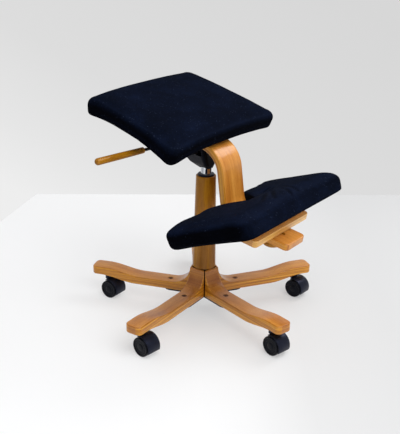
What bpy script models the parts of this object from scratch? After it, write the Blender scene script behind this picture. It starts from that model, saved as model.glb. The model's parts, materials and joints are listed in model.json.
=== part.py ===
"""Kneeling balance chair: five-arm wooden base on casters, gas lift, seat and knee pad on a bent strap.

Metres, +Z up. The sitter faces -Y, and the release lever is on the -X side.
Every height is stacked up from the floor, so a changed piece carries what stands on it.
"""
import bpy
import bmesh
from math import cos, pi, radians, sin, tan
from mathutils import Matrix, Vector

GAP = 0.0003                    # clearance between pieces that touch
FACETS = 20                     # sides of a turned piece

# Place of the column axis, which puts the origin under the middle of the whole chair
COLUMN_X = 0.0201
COLUMN_Y = 0.0067

# Casters
CASTER_HEADINGS = (300, 273, 264, 258, 267)    # degrees, direction in which each wheel pair trails
CASTER_INSET = 0.0415           # arm tip to caster stem
CASTER_TRAIL = 0.013
WHEEL_RADIUS = 0.025
WHEEL_WIDTH = 0.0175
WHEEL_DISH = 0.0018             # depth of the recess in the outer face
WHEEL_RIM = 0.0055              # width of the raised ring round that recess
WHEEL_BOSS = 0.0075             # radius of the raised centre
WHEEL_SOFT = 0.0018             # rounding of the tread's outer edge
WHEEL_SIDES = 16
AXLE_RADIUS = 0.003
AXLE_CAP = 0.004                # thickness of wheel that closes over the axle's end
WEB_THICK = 0.0076              # plate of the hood between the two wheels
WEB_FOOT = 0.0085               # how far the plate reaches below the axle
WHEEL_SIDE_GAP = 0.0006
FENDER_GAP = 0.0016
FENDER_THICK = 0.0022
FENDER_FRONT = 50               # degrees above level, end of the fender on the stem's side
FENDER_TAIL = -32               # degrees, end of the fender on the trailing side
FENDER_STEPS = 11
STEM_RADIUS = 0.0055
STEM_IN_ARM = 0.0165
STEM_IN_HOOD = 0.0095
STEM_COLLAR_RADIUS = 0.0092
STEM_FACE_CLEAR = 0.001         # flat round the stem, under the arm
STEM_COLLAR = 0.0025
HOOD_BOSS_RADIUS = 0.0105
HOOD_BOSS_HEIGHT = 0.0125       # from the fender's crown to the stem's collar

# Base
ARM_COUNT = 5
ARM_HEADING = 39.9              # degrees, heading of the first arm
ARM_REACH = 0.3105              # column axis to arm tip
ARM_WIDTH = 0.0458
ARM_THICK = 0.0223
ARM_RISE = 0.014                # how much higher the tip lies than the inner part
ARM_RISE_RUN = 0.135            # length of the rise
ARM_TIP_FLAT = 0.0255           # level end beyond the rise
ARM_CORNER = 0.0126             # plan corner at the tip
ARM_EDGE = 0.0032               # rounding along the long edges
ARM_MITRE_GAP = 0.0012          # open line between two arms at the collar
COLLAR_HEIGHT = 0.0515          # height of the arms' upswept inner ends
COLLAR_RADIUS = 0.032
ARM_BOLT_CIRCLE = 0.0913
BOLT_RADIUS = 0.004
BOLT_HEAD_RADIUS = 0.0065
BOLT_HEAD = 0.004
BOLT_SOCKET = 0.0024            # radius and depth of the drive socket
BOLT_SINK = 0.0052              # depth of the counterbore in the arm
HUB_REACH = 0.108               # length of the hub's five fingers under the arms
HUB_FINGER = 0.0185             # half width of a finger
HUB_PLATE = 0.005
HUB_SOCKET_WALL = 0.0044
HUB_LEDGE = 0.0092              # inward lip that the column tube stands on

# Column and gas spring
TUBE_RADIUS = 0.0213
TUBE_WALL = 0.0028
TUBE_FLOOR = 0.004
SLEEVE_LENGTH = 0.2527
SLEEVE_FOOT_RADIUS = 0.0302
SLEEVE_TOP_RADIUS = 0.0255
SLEEVE_EDGE = 0.002
BUSH_LENGTH = 0.080
BUSH_FLANGE = 0.004
BUSH_FLANGE_RADIUS = 0.0238
SPRING_RADIUS = 0.014
SPRING_SHOWN = 0.016            # bright tube seen between the bush and the housing at the lowest seat
SPRING_HELD = 0.086             # length of the tube that stays in the column at the highest seat
SPRING_TAPER_LENGTH = 0.0365
SPRING_TAPER = 0.0008           # fall in radius along the seated end
LIFT_TRAVEL = 0.110
ROD_RADIUS = 0.005
ROD_COLLAR_RADIUS = 0.0115
ROD_COLLAR = 0.003
ROD_END_CLEAR = 0.008
BEARING_RADIUS = 0.0155
BEARING_HEIGHT = 0.006
CLIP_RADIUS = 0.0108
CLIP_HEIGHT = 0.0025
ROD_TAIL = 0.0065               # end of the rod below the column's floor
BUTTON_RADIUS = 0.004
BUTTON_SHOWN = 0.008
BUTTON_TRAVEL = 0.0025
BUTTON_GUIDE = 0.008

# Housing under the seat
HOUSING_HEIGHT = 0.0629         # at the column axis
HOUSING_NECK = 0.0168
HOUSING_HALF_WIDTH = 0.0385
HOUSING_FRONT = 0.0205
HOUSING_BACK = 0.096
HOUSING_CORNER = 0.016
HOUSING_RIM = 0.006
HOUSING_FLARE = 0.62            # power that shapes the flare from neck to rim
HOUSING_SIDES = 28
HOUSING_STEPS = 6
SEAT_BOLT_RADIUS = 0.003
SEAT_BOLT_HEAD_RADIUS = 0.0055
SEAT_BOLT_HEAD = 0.0035
SEAT_BOLT_IN_BOARD = 0.006
SEAT_BOLT_HALF = 0.0275         # distance from the middle plane
SEAT_BOLT_BACK = (0.048, 0.084)

# Release lever
LEVER_RADIUS = 0.004
LEVER_PIVOT = 0.024             # pivot's distance from the column axis
LEVER_PIN_RADIUS = 0.0018
LEVER_PIN_HALF = 0.0135
LEVER_WELL = 0.0085             # half width of the housing's well round the lever
LEVER_SET_BACK = 0.080          # distance of the handle behind the column axis
LEVER_CRANK = (0.060, 0.110)    # distances from the axis where the rod is bent
LEVER_BEND = 0.022
LEVER_LIFT = 0.0117             # height gained between the two bends
LEVER_SLOPE = 3.6               # degrees, the handle rises outwards
HANDLE_START = 0.1447
HANDLE_LENGTH = 0.160
HANDLE_RADIUS = 0.0083
HANDLE_END_RADIUS = 0.0068
HANDLE_BORE = 0.030
HANDLE_SOFT = 0.0015            # rounding of the handle's end

# Seat
CUSHION_LIP = 0.0008            # fall of a cushion's top at its rim
SEAT_TILT = 15.0                # degrees, front edge down
SEAT_BACK = 0.094               # middle of the seat behind the column axis, along the slope
SEAT_DEPTH = 0.301
SEAT_FRONT_WIDTH = 0.434
SEAT_REAR_WIDTH = 0.400
SEAT_THICK = 0.047
SEAT_CROWN = 0.006
SEAT_CORNER = 0.040
SEAT_DRAW_IN = 0.006            # how far the sides pull in between the corners
SEAT_DROOP = 0.009              # how far the corners hang below the middle
BOARD_THICK = 0.009
SEAT_BOARD_MARGIN = 0.055      # board inside the cushion, front and rear
SEAT_BOARD_SIDE = 0.062         # the same at the sides

# Bent strap
STRAP_WIDTH = 0.083
STRAP_THICK = 0.018
STRAP_EDGE = 0.003
STRAP_END_CORNER = 0.012
STRAP_REAR = 0.154
STRAP_REACH = 0.0648            # column axis to the upper bend's corner, along the seat's slope
STRAP_LEAN = 8.5                # degrees, foot of the upright is further forward
STRAP_DROP = 0.1605
STRAP_TOP_BEND = 0.069
STRAP_LOW_BEND = 0.059
TONGUE_SLOPE = 9.0              # degrees, front end down
TONGUE_LENGTH = 0.1855

# Knee pad and its carrier
CARRIER_TRAVEL = 0.028
BAR_SET_BACK = 0.0415           # front of the cross bar behind the tongue's tip
BAR_DEPTH = 0.050
BAR_HALF_LENGTH = 0.119
BAR_THICK = 0.019
BAR_CORNER = 0.010
KNOB_RADIUS = 0.026
KNOB_HEIGHT = 0.024
KNOB_SHOULDER = 0.002           # how much narrower the knob is below its top
KNOB_NECK = 0.017               # radius of the knob's flat top, against the strap
KNOB_HOLE = 0.016               # depth of the clamp bolt in the knob
CLAMP_HEAD_RADIUS = 0.009
CLAMP_HEAD = 0.004
SLOT_END_CLEAR = 0.0005
PAD_TILT = 20.3                 # degrees, front edge up
PAD_SET_BACK = 0.0095           # middle of the pad behind the cross bar
PAD_CLEAR = 0.0024              # space over the cross bar's rear edge
PAD_DEPTH = 0.234
PAD_FRONT_WIDTH = 0.436
PAD_REAR_WIDTH = 0.484
PAD_THICK = 0.054
PAD_CROWN = 0.004
PAD_CORNER = 0.040
PAD_DRAW_IN = 0.004
PAD_DROOP = 0.007               # how far the two ends hang beyond the board
PAD_BOARD_FRONT = 0.085
PAD_BOARD_BACK = 0.010
PAD_BOARD_HALF = 0.170
NOTCH_HALF_WIDTH = 0.076        # at the pad's rear edge
NOTCH_APEX = 0.016              # apex behind the pad's middle
NOTCH_ROUND = 0.012
STRAP_CLEAR = 0.002             # space round the strap in the pad
WEDGE_DEPTH = 0.027             # bevelled seats on the cross bar that carry the pad's board
WEDGE_INNER = 0.022
WEDGE_OUTER = 0.102

# Heights stacked up from the floor
CASTER_CIRCLE = ARM_REACH - CASTER_INSET
ARM_RISE_END = ARM_REACH - ARM_TIP_FLAT
ARM_RISE_START = ARM_RISE_END - ARM_RISE_RUN
SPRING_IN_COLUMN = LIFT_TRAVEL + SPRING_HELD
FENDER_INNER = WHEEL_RADIUS + FENDER_GAP
FENDER_OUTER = FENDER_INNER + FENDER_THICK
HOOD_TOP = WHEEL_RADIUS + FENDER_OUTER + HOOD_BOSS_HEIGHT - FENDER_THICK
ARM_TIP_BOTTOM = HOOD_TOP + GAP + STEM_COLLAR + GAP
ARM_BOTTOM = ARM_TIP_BOTTOM - ARM_RISE
ARM_TOP = ARM_BOTTOM + ARM_THICK
HUB_TOP = ARM_BOTTOM - GAP
HUB_BOTTOM = HUB_TOP - HUB_PLATE
COLLAR_TOP = ARM_TOP + COLLAR_HEIGHT
SLEEVE_BOTTOM = COLLAR_TOP + GAP
SLEEVE_TOP = SLEEVE_BOTTOM + SLEEVE_LENGTH
TUBE_BOTTOM = HUB_TOP + GAP
BEARING_BOTTOM = TUBE_BOTTOM + TUBE_FLOOR + GAP
BEARING_TOP = BEARING_BOTTOM + BEARING_HEIGHT
BUSH_TOP = SLEEVE_TOP + GAP + BUSH_FLANGE
HOUSING_BOTTOM = BUSH_TOP + SPRING_SHOWN
SPRING_BOTTOM = BUSH_TOP - SPRING_IN_COLUMN
SPRING_TOP = HOUSING_BOTTOM + SPRING_TAPER_LENGTH
BUTTON_TOP = SPRING_TOP + BUTTON_SHOWN
LEVER_HEIGHT = BUTTON_TOP + GAP + LEVER_RADIUS
HOUSING_TOP = HOUSING_BOTTOM + HOUSING_HEIGHT
BUTTON_WELL = BUTTON_TRAVEL + BUTTON_GUIDE
ROD_TOP = HOUSING_BOTTOM - ROD_END_CLEAR
SOCKET_RADIUS = TUBE_RADIUS + GAP + HUB_SOCKET_WALL

# Frames: the seat's slope at the column axis, the tongue's tip and the pad's underside
SEAT_FRAME = Matrix.Translation((0, 0, HOUSING_TOP)) @ Matrix.Rotation(radians(SEAT_TILT), 4, "X")
STRAP_LEVEL = GAP + STRAP_THICK / 2
BOARD_BOTTOM = GAP + STRAP_THICK + GAP
STRAP_CORNER_TOP = SEAT_FRAME @ Vector((0, -STRAP_REACH, STRAP_LEVEL))
STRAP_DOWN = Vector((0, -sin(radians(STRAP_LEAN)), -cos(radians(STRAP_LEAN))))
STRAP_CORNER_LOW = STRAP_CORNER_TOP + STRAP_DROP * STRAP_DOWN
TONGUE_TURN = Matrix.Rotation(radians(TONGUE_SLOPE), 4, "X")
TONGUE_TIP = STRAP_CORNER_LOW + TONGUE_TURN @ Vector((0, -TONGUE_LENGTH, 0))
KNEE_FRAME = Matrix.Translation(TONGUE_TIP + TONGUE_TURN @ Vector((0, 0, STRAP_THICK / 2))) @ TONGUE_TURN
BAR_REAR = BAR_SET_BACK + BAR_DEPTH
BAR_TOP = GAP + BAR_THICK
CLAMP_AT = BAR_SET_BACK + BAR_DEPTH / 2
PAD_ANGLE = radians(PAD_TILT + TONGUE_SLOPE)
PAD_MIDDLE = BAR_REAR + PAD_SET_BACK
PAD_LEVEL = BAR_TOP + PAD_CLEAR - PAD_SET_BACK * tan(PAD_ANGLE)
PAD_TURN = Matrix.Rotation(-PAD_ANGLE, 4, "X")
PAD_FRAME = KNEE_FRAME @ Matrix.Translation((0, PAD_MIDDLE, PAD_LEVEL)) @ PAD_TURN


def linear(hex_colour):
    """Turns an sRGB hex colour into linear RGBA."""
    parts = [int(hex_colour[i:i + 2], 16) / 255 for i in (1, 3, 5)]
    return [c / 12.92 if c <= 0.04045 else ((c + 0.055) / 1.055) ** 2.4 for c in parts] + [1.0]


def finish(name, hex_colour, roughness, metallic):
    """Makes one Principled material."""
    made = bpy.data.materials.new(name)
    made.use_nodes = True
    shader = made.node_tree.nodes["Principled BSDF"]
    shader.inputs["Base Color"].default_value = linear(hex_colour)
    shader.inputs["Roughness"].default_value = roughness
    shader.inputs["Metallic"].default_value = metallic
    return made


def mesh_of(points, faces):
    """Closed mesh with its faces turned outwards."""
    mesh = bpy.data.meshes.new("shape")
    mesh.from_pydata([tuple(p) for p in points], [], faces)
    work = bmesh.new()
    work.from_mesh(mesh)
    bmesh.ops.recalc_face_normals(work, faces=work.faces)
    work.to_mesh(mesh)
    work.free()
    return mesh


def loft(rings):
    """Skins rings of equal count and closes both ends."""
    count = len(rings[0])
    points = [p for ring in rings for p in ring]
    faces = [list(range(count)), list(range(len(points) - count, len(points)))]
    for r in range(len(rings) - 1):
        for i in range(count):
            j = (i + 1) % count
            faces.append([r * count + i, r * count + j, (r + 1) * count + j, (r + 1) * count + i])
    return mesh_of(points, faces)


def turned(profile, sides=FACETS, flats=False):
    """Turns (radius, height) points round Z: open at the axis ends, or a closed ring off the axis."""
    grow = 1 / cos(pi / sides) if flats else 1
    on_axis = profile[0][0] == 0
    points = []
    index = []
    for radius, height in profile:
        if radius == 0:
            index.append([len(points)] * sides)
            points.append((0, 0, height))
            continue
        index.append([len(points) + k for k in range(sides)])
        for k in range(sides):
            a = 2 * pi * (k + 0.5) / sides
            points.append((radius * grow * cos(a), radius * grow * sin(a), height))
    faces = []
    for r in range(len(profile) - (1 if on_axis else 0)):
        low, high = index[r], index[(r + 1) % len(profile)]
        for k in range(sides):
            j = (k + 1) % sides
            loop = [low[k], low[j], high[j], high[k]]
            faces.append([v for n, v in enumerate(loop) if v not in loop[:n]])
    return mesh_of(points, [f for f in faces if len(f) > 2])


def rod(radius, low, high, sides=FACETS):
    """Plain round bar along Z."""
    return turned([(0, low), (radius, low), (radius, high), (0, high)], sides)


def prism(outline, low, high):
    """Extrudes an (x, y) outline along Z."""
    return loft([[(x, y, z) for x, y in outline] for z in (low, high)])


def side_prism(outline, half_width, middle=0):
    """Extrudes a (y, z) outline along X."""
    return loft([[(middle + x, y, z) for y, z in outline] for x in (-half_width, half_width)])


def box(low, high):
    outline = [(low[0], low[1]), (high[0], low[1]), (high[0], high[1]), (low[0], high[1])]
    return prism(outline, low[2], high[2])


def moved(mesh, matrix):
    mesh.transform(matrix)
    return mesh


def shift(x, y, z):
    return Matrix.Translation((x, y, z))


def arc(centre, radius, start, end, steps):
    """Points of a plane arc, angles in degrees."""
    angles = [radians(start + (end - start) * k / steps) for k in range(steps + 1)]
    return [(centre[0] + radius * cos(a), centre[1] + radius * sin(a)) for a in angles]


def combined(mesh, tools, operation):
    """Cuts the tools from a mesh, or joins them to it."""
    target = bpy.data.objects.new("target", mesh)
    bpy.context.scene.collection.objects.link(target)
    helpers = []
    for tool in tools:
        helper = bpy.data.objects.new("helper", tool)
        bpy.context.scene.collection.objects.link(helper)
        helpers.append(helper)
        step = target.modifiers.new("step", "BOOLEAN")
        step.operation = operation
        step.solver = "EXACT"
        step.object = helper
    bpy.context.view_layer.update()
    result = bpy.data.meshes.new_from_object(target.evaluated_get(bpy.context.evaluated_depsgraph_get()))
    for used in [target] + helpers:
        bpy.data.objects.remove(used)
    return result


def cut(mesh, *tools):
    return combined(mesh, tools, "DIFFERENCE")


def fused(mesh, *tools):
    return combined(mesh, tools, "UNION")


def frame(name, matrix, parent):
    """Empty that carries a group of pieces."""
    empty = bpy.data.objects.new(name, None)
    bpy.context.scene.collection.objects.link(empty)
    empty.parent = parent
    empty.matrix_local = matrix
    return empty


def piece(name, mesh, surface, parent, matrix=Matrix.Identity(4), sharp=35):
    """Puts one named sub-part in place."""
    made = bpy.data.objects.new(name, mesh)
    bpy.context.scene.collection.objects.link(made)
    made.parent = parent
    made.matrix_local = matrix
    mesh.name = name
    mesh.materials.clear()
    mesh.materials.append(surface)
    mesh.shade_smooth()
    mesh.set_sharp_from_angle(angle=radians(sharp))
    return made


def section(half_width, top, bottom, edge):
    """Rounded rectangle across a bar, as (across, up) points."""
    corners = [(half_width - edge, top - edge, 0, 2), (edge - half_width, top - edge, 90, 2),
               (edge - half_width, bottom + edge, 180, 1), (half_width - edge, bottom + edge, 270, 1)]
    return [p for x, z, a, steps in corners for p in arc((x, z), edge, a, a + 90, steps)]


def corner_stations(end, corner, half_width):
    """Stations (place, half width) that round the plan corners up to an end."""
    turns = [radians(a) for a in (0, 35, 65, 88)]
    return [(end - corner + corner * sin(a), half_width - corner * (1 - cos(a))) for a in turns]


def arm_heights(place):
    """Top and bottom of an arm at a distance from the column axis."""
    share = min(1, max(0, (place - ARM_RISE_START) / (ARM_RISE_END - ARM_RISE_START)))
    lift = ARM_RISE * share * share * (3 - 2 * share)
    return ARM_TOP + lift, ARM_BOTTOM + lift


def arm_mesh():
    """One arm along +X: upswept collar end, flat run, rise and rounded tip."""
    inner = SOCKET_RADIUS + GAP
    half = ARM_WIDTH / 2
    mitre = pi / ARM_COUNT
    stations = [(inner, COLLAR_TOP), (COLLAR_RADIUS, COLLAR_TOP)]
    for a in (22.5, 45, 67.5, 90):
        out = COLLAR_HEIGHT * (1 - cos(radians(a)))
        stations.append((COLLAR_RADIUS + out, COLLAR_TOP - COLLAR_HEIGHT * sin(radians(a))))
    rings = []
    for place, top in stations:
        wide = min(half, place * tan(mitre) - ARM_MITRE_GAP / 2 / cos(mitre))
        rings.append([(place, y, z) for y, z in section(wide, top, ARM_BOTTOM, ARM_EDGE)])
    steps = 5
    rise = [ARM_RISE_START + (ARM_RISE_END - ARM_RISE_START) * k / steps for k in range(steps + 1)]
    tip = corner_stations(ARM_REACH, ARM_CORNER, half)
    for place, wide in [(r, half) for r in rise] + tip:
        top, bottom = arm_heights(place)
        rings.append([(place, y, z) for y, z in section(wide, top, bottom, ARM_EDGE)])
    hole = BOLT_RADIUS + GAP
    sink = BOLT_HEAD_RADIUS + GAP
    bolt_hole = turned([(0, 0), (hole, 0), (hole, ARM_TOP - BOLT_SINK), (sink, ARM_TOP - BOLT_SINK),
                        (sink, COLLAR_TOP), (0, COLLAR_TOP)], 12)
    bore = STEM_RADIUS + GAP
    face = STEM_COLLAR_RADIUS + STEM_FACE_CLEAR
    end = ARM_TIP_BOTTOM + STEM_IN_ARM + GAP
    stem_hole = turned([(0, 0), (face, 0), (face, ARM_TIP_BOTTOM), (bore, ARM_TIP_BOTTOM), (bore, end),
                        (0, end)], 12)
    return cut(loft(rings), moved(bolt_hole, shift(ARM_BOLT_CIRCLE, 0, 0)),
               moved(stem_hole, shift(CASTER_CIRCLE, 0, 0)))


def arm_turns():
    return [radians(ARM_HEADING + 360 * k / ARM_COUNT) for k in range(ARM_COUNT)]


def add_base(chair, wood, steel, paint):
    mesh = arm_mesh()
    holes = []
    bolt_low = HUB_BOTTOM + GAP
    seat = ARM_TOP - BOLT_SINK + GAP
    for number, turn in enumerate(arm_turns(), 1):
        piece("base_arm_%d" % number, mesh.copy(), wood, chair, Matrix.Rotation(turn, 4, "Z"))
        place = Matrix.Rotation(turn, 4, "Z") @ shift(ARM_BOLT_CIRCLE, 0, 0)
        head = seat + BOLT_HEAD
        bolt = turned([(0, bolt_low), (BOLT_RADIUS, bolt_low), (BOLT_RADIUS, seat), (BOLT_HEAD_RADIUS, seat),
                       (BOLT_HEAD_RADIUS, head), (BOLT_SOCKET, head), (BOLT_SOCKET, head - BOLT_SOCKET),
                       (0, head - BOLT_SOCKET)], 12)
        piece("arm_bolt_%d" % number, bolt, steel, chair, place)
        holes.append(moved(rod(BOLT_RADIUS + GAP, 0, HUB_TOP + HUB_PLATE, 12), place))
    piece("base_hub", hub_mesh(holes), paint, chair)


def hub_mesh(holes):
    """Steel star under the arms with a socket that holds the column tube."""
    star = []
    crotch = HUB_FINGER / sin(pi / ARM_COUNT)
    for turn in arm_turns():
        before = turn - pi / ARM_COUNT
        star.append((crotch * cos(before), crotch * sin(before)))
        for x, y in arc((HUB_REACH - HUB_FINGER, 0), HUB_FINGER, -90, 90, 6):
            star.append((x * cos(turn) - y * sin(turn), x * sin(turn) + y * cos(turn)))
    inner = TUBE_RADIUS + GAP
    ledge = inner - HUB_LEDGE
    top = COLLAR_TOP - GAP
    floor = TUBE_BOTTOM - GAP
    bore = turned([(0, 0), (ledge, 0), (ledge, floor), (inner, floor), (inner, 2 * top), (0, 2 * top)])
    socket = rod(SOCKET_RADIUS, HUB_BOTTOM, top)
    return cut(fused(prism(star, HUB_BOTTOM, HUB_TOP), socket), bore, *holes)


def wheel_mesh():
    """One wheel of a pair, turned round Z, inner face at height 0."""
    rim = WHEEL_RADIUS - WHEEL_RIM
    dish = WHEEL_WIDTH - WHEEL_DISH
    bore = AXLE_RADIUS + GAP
    depth = WHEEL_WIDTH - AXLE_CAP
    return turned([(0, WHEEL_WIDTH - WHEEL_DISH / 3), (WHEEL_BOSS, WHEEL_WIDTH - WHEEL_DISH / 3),
                   (WHEEL_BOSS + WHEEL_DISH, dish), (rim - WHEEL_DISH, dish), (rim, WHEEL_WIDTH),
                   (WHEEL_RADIUS - WHEEL_SOFT, WHEEL_WIDTH), (WHEEL_RADIUS, WHEEL_WIDTH - WHEEL_SOFT),
                   (WHEEL_RADIUS, 0),
                   (bore, 0), (bore, depth), (0, depth)], WHEEL_SIDES, flats=True)


def hood_mesh():
    """Plate between the wheels, fender over both and boss round the stem."""
    axle = (CASTER_TRAIL, WHEEL_RADIUS)
    half = WEB_THICK / 2 + WHEEL_SIDE_GAP + WHEEL_WIDTH
    front = 180 - FENDER_FRONT
    foot = arc(axle, WEB_FOOT, FENDER_TAIL, -180, 5)
    web = arc(axle, FENDER_INNER + FENDER_THICK / 2, front, FENDER_TAIL, FENDER_STEPS) + foot
    fender = (arc(axle, FENDER_OUTER, FENDER_TAIL, front, FENDER_STEPS)
              + arc(axle, FENDER_INNER, front, FENDER_TAIL, FENDER_STEPS))
    stand = Matrix.Rotation(pi / 2, 4, "X")
    plate = moved(prism(web, -WEB_THICK / 2, WEB_THICK / 2), stand)
    cover = moved(prism(fender, -half, half), stand)
    boss = rod(HOOD_BOSS_RADIUS, WHEEL_RADIUS + FENDER_INNER - FENDER_GAP, HOOD_TOP, 16)
    stem = rod(STEM_RADIUS + GAP, HOOD_TOP - STEM_IN_HOOD - GAP, HOOD_TOP + STEM_COLLAR, 12)
    pin = moved(rod(AXLE_RADIUS + GAP, -half, half, 12), shift(*axle_place()) @ stand)
    return cut(fused(cover, plate, boss), stem, pin)


def axle_place():
    return (CASTER_TRAIL, 0, WHEEL_RADIUS)


def add_casters(chair, plastic, tread, steel):
    hood = hood_mesh()
    wheel = wheel_mesh()
    half = WEB_THICK / 2 + WHEEL_SIDE_GAP
    reach = half + WHEEL_WIDTH - AXLE_CAP - GAP
    axle = rod(AXLE_RADIUS, -reach, reach, 12)
    collar = HOOD_TOP + GAP
    foot = HOOD_TOP - STEM_IN_HOOD
    head = ARM_TIP_BOTTOM + STEM_IN_ARM
    stem = turned([(0, foot), (STEM_RADIUS, foot), (STEM_RADIUS, collar), (STEM_COLLAR_RADIUS, collar),
                   (STEM_COLLAR_RADIUS, collar + STEM_COLLAR), (STEM_RADIUS, collar + STEM_COLLAR),
                   (STEM_RADIUS, head), (0, head)], 12)
    for number, (turn, heading) in enumerate(zip(arm_turns(), CASTER_HEADINGS), 1):
        place = shift(CASTER_CIRCLE * cos(turn), CASTER_CIRCLE * sin(turn), 0)
        swivel = frame("caster_%d_axis" % number, place @ Matrix.Rotation(radians(heading), 4, "Z"), chair)
        name = "caster_%d_" % number
        piece(name + "stem", stem.copy(), steel, swivel)
        piece(name + "hood", hood.copy(), plastic, swivel)
        spin = shift(*axle_place())
        piece(name + "axle", axle.copy(), steel, swivel, spin @ Matrix.Rotation(pi / 2, 4, "X"))
        for side, sign in (("wheel_left", 1), ("wheel_right", -1)):
            turn_out = Matrix.Rotation(-sign * pi / 2, 4, "X")
            piece(name + side, wheel.copy(), tread, swivel, spin @ shift(0, sign * half, 0) @ turn_out)


def add_column(chair, wood, paint, steel, chrome, plastic):
    inner = TUBE_RADIUS - TUBE_WALL
    hole = ROD_RADIUS + GAP
    tube_top = SLEEVE_TOP
    piece("column_tube", turned([
        (hole, TUBE_BOTTOM), (TUBE_RADIUS, TUBE_BOTTOM), (TUBE_RADIUS, tube_top), (inner, tube_top),
        (inner, TUBE_BOTTOM + TUBE_FLOOR), (hole, TUBE_BOTTOM + TUBE_FLOOR)]), paint, chair)
    bore = TUBE_RADIUS + GAP
    edge = SLEEVE_EDGE
    piece("column_sleeve", turned([
        (bore, SLEEVE_BOTTOM), (SLEEVE_FOOT_RADIUS - edge, SLEEVE_BOTTOM),
        (SLEEVE_FOOT_RADIUS, SLEEVE_BOTTOM + edge), (SLEEVE_TOP_RADIUS, SLEEVE_TOP - edge),
        (SLEEVE_TOP_RADIUS - edge, SLEEVE_TOP), (bore, SLEEVE_TOP)], 32),
        wood, chair)
    slide = SPRING_RADIUS + GAP
    flange = SLEEVE_TOP + GAP
    piece("guide_bush", turned([
        (slide, flange - BUSH_LENGTH), (inner - GAP, flange - BUSH_LENGTH), (inner - GAP, flange),
        (BUSH_FLANGE_RADIUS, flange), (BUSH_FLANGE_RADIUS, BUSH_TOP - edge),
        (BUSH_FLANGE_RADIUS - edge, BUSH_TOP), (slide, BUSH_TOP)]), plastic, chair)
    piece("thrust_bearing", turned([
        (hole, BEARING_BOTTOM), (BEARING_RADIUS, BEARING_BOTTOM), (BEARING_RADIUS, BEARING_TOP),
        (hole, BEARING_TOP)]), steel, chair)
    clip = TUBE_BOTTOM - GAP
    piece("retaining_clip", turned([
        (hole, clip - CLIP_HEIGHT), (CLIP_RADIUS, clip - CLIP_HEIGHT), (CLIP_RADIUS, clip), (hole, clip)]),
        steel, chair)
    rest = BEARING_TOP + GAP
    piece("piston_rod", turned([
        (0, TUBE_BOTTOM - ROD_TAIL), (ROD_RADIUS, TUBE_BOTTOM - ROD_TAIL), (ROD_RADIUS, rest),
        (ROD_COLLAR_RADIUS, rest), (ROD_COLLAR_RADIUS, rest + ROD_COLLAR), (ROD_RADIUS, rest + ROD_COLLAR),
        (ROD_RADIUS, ROD_TOP), (0, ROD_TOP)], 16), chrome, chair)
    top = SPRING_RADIUS - SPRING_TAPER
    well = BUTTON_RADIUS + GAP
    piece("gas_spring_tube", turned([
        (0, ROD_TOP + GAP), (hole, ROD_TOP + GAP), (hole, SPRING_BOTTOM), (SPRING_RADIUS, SPRING_BOTTOM),
        (SPRING_RADIUS, HOUSING_BOTTOM), (top, SPRING_TOP), (well, SPRING_TOP),
        (well, SPRING_TOP - BUTTON_WELL), (0, SPRING_TOP - BUTTON_WELL)]), chrome, chair)
    piece("release_button", rod(BUTTON_RADIUS, SPRING_TOP - BUTTON_GUIDE, BUTTON_TOP, 16), steel, chair)


def rounded_plan(half_front, half_rear, front, rear, corner, sides):
    """Rounded four-sided plan as (x, y) points, front at -y."""
    steps = sides // 4 - 1
    return (arc((half_rear - corner, rear - corner), corner, 0, 90, steps)
            + arc((corner - half_rear, rear - corner), corner, 90, 180, steps)
            + arc((corner - half_front, front + corner), corner, 180, 270, steps)
            + arc((half_front - corner, front + corner), corner, 270, 360, steps))


def housing_mesh():
    """Neck round the gas spring that flares into a sloping rim under the strap."""
    half = HOUSING_HALF_WIDTH
    plan = rounded_plan(half, half, -HOUSING_FRONT, HOUSING_BACK, HOUSING_CORNER, HOUSING_SIDES)
    rim = [SEAT_FRAME @ Vector((x, y, -HOUSING_RIM)) for x, y in plan]
    middle = (HOUSING_BACK - HOUSING_FRONT) / 2
    neck = []
    for x, y in plan:
        aim = Vector((x, y - middle, 0)).normalized() * HOUSING_NECK
        neck.append(Vector((aim.x, aim.y, HOUSING_BOTTOM)))
    rings = []
    for k in range(HOUSING_STEPS + 1):
        t = k / HOUSING_STEPS
        spread = t ** HOUSING_FLARE
        rings.append([(n.x + (r.x - n.x) * spread, n.y + (r.y - n.y) * spread, n.z + (r.z - n.z) * t)
                      for n, r in zip(neck, rim)])
    rings.append([SEAT_FRAME @ Vector((x, y, 0)) for x, y in plan])
    fit = SPRING_RADIUS + GAP
    low = HOUSING_BOTTOM - GAP
    socket = turned([(0, low), (fit, low), (fit - SPRING_TAPER, SPRING_TOP + GAP), (0, SPRING_TOP + GAP)])
    high = HOUSING_TOP + HOUSING_HEIGHT
    wall = HOUSING_HALF_WIDTH + HOUSING_CORNER
    well = box((-wall, -LEVER_WELL, SPRING_TOP), (SPRING_RADIUS, LEVER_WELL, high))
    pin = moved(rod(LEVER_PIN_RADIUS + GAP, -LEVER_PIN_HALF - GAP, wall, 12),
                shift(-LEVER_PIVOT, 0, LEVER_HEIGHT) @ Matrix.Rotation(pi / 2, 4, "X"))
    drills = []
    for place in seat_bolt_places():
        head = rod(SEAT_BOLT_HEAD_RADIUS + GAP, -HOUSING_HEIGHT, -HOUSING_RIM, 12)
        shank = rod(SEAT_BOLT_RADIUS + GAP, -HOUSING_HEIGHT, HOUSING_RIM, 12)
        drills += [moved(head, place), moved(shank, place)]
    return cut(loft(rings), socket, well, pin, *drills)


def seat_bolt_places():
    """Frames of the four bolts that hold the housing, the strap and the seat's board together."""
    return [SEAT_FRAME @ shift(x, y, 0) for y in SEAT_BOLT_BACK for x in (-SEAT_BOLT_HALF, SEAT_BOLT_HALF)]


def headed(radius, head_radius, head, low, high, sides=12):
    """Bolt along Z with its head below low."""
    return turned([(0, low - head), (head_radius, low - head), (head_radius, low), (radius, low),
                   (radius, high), (0, high)], sides)


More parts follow.
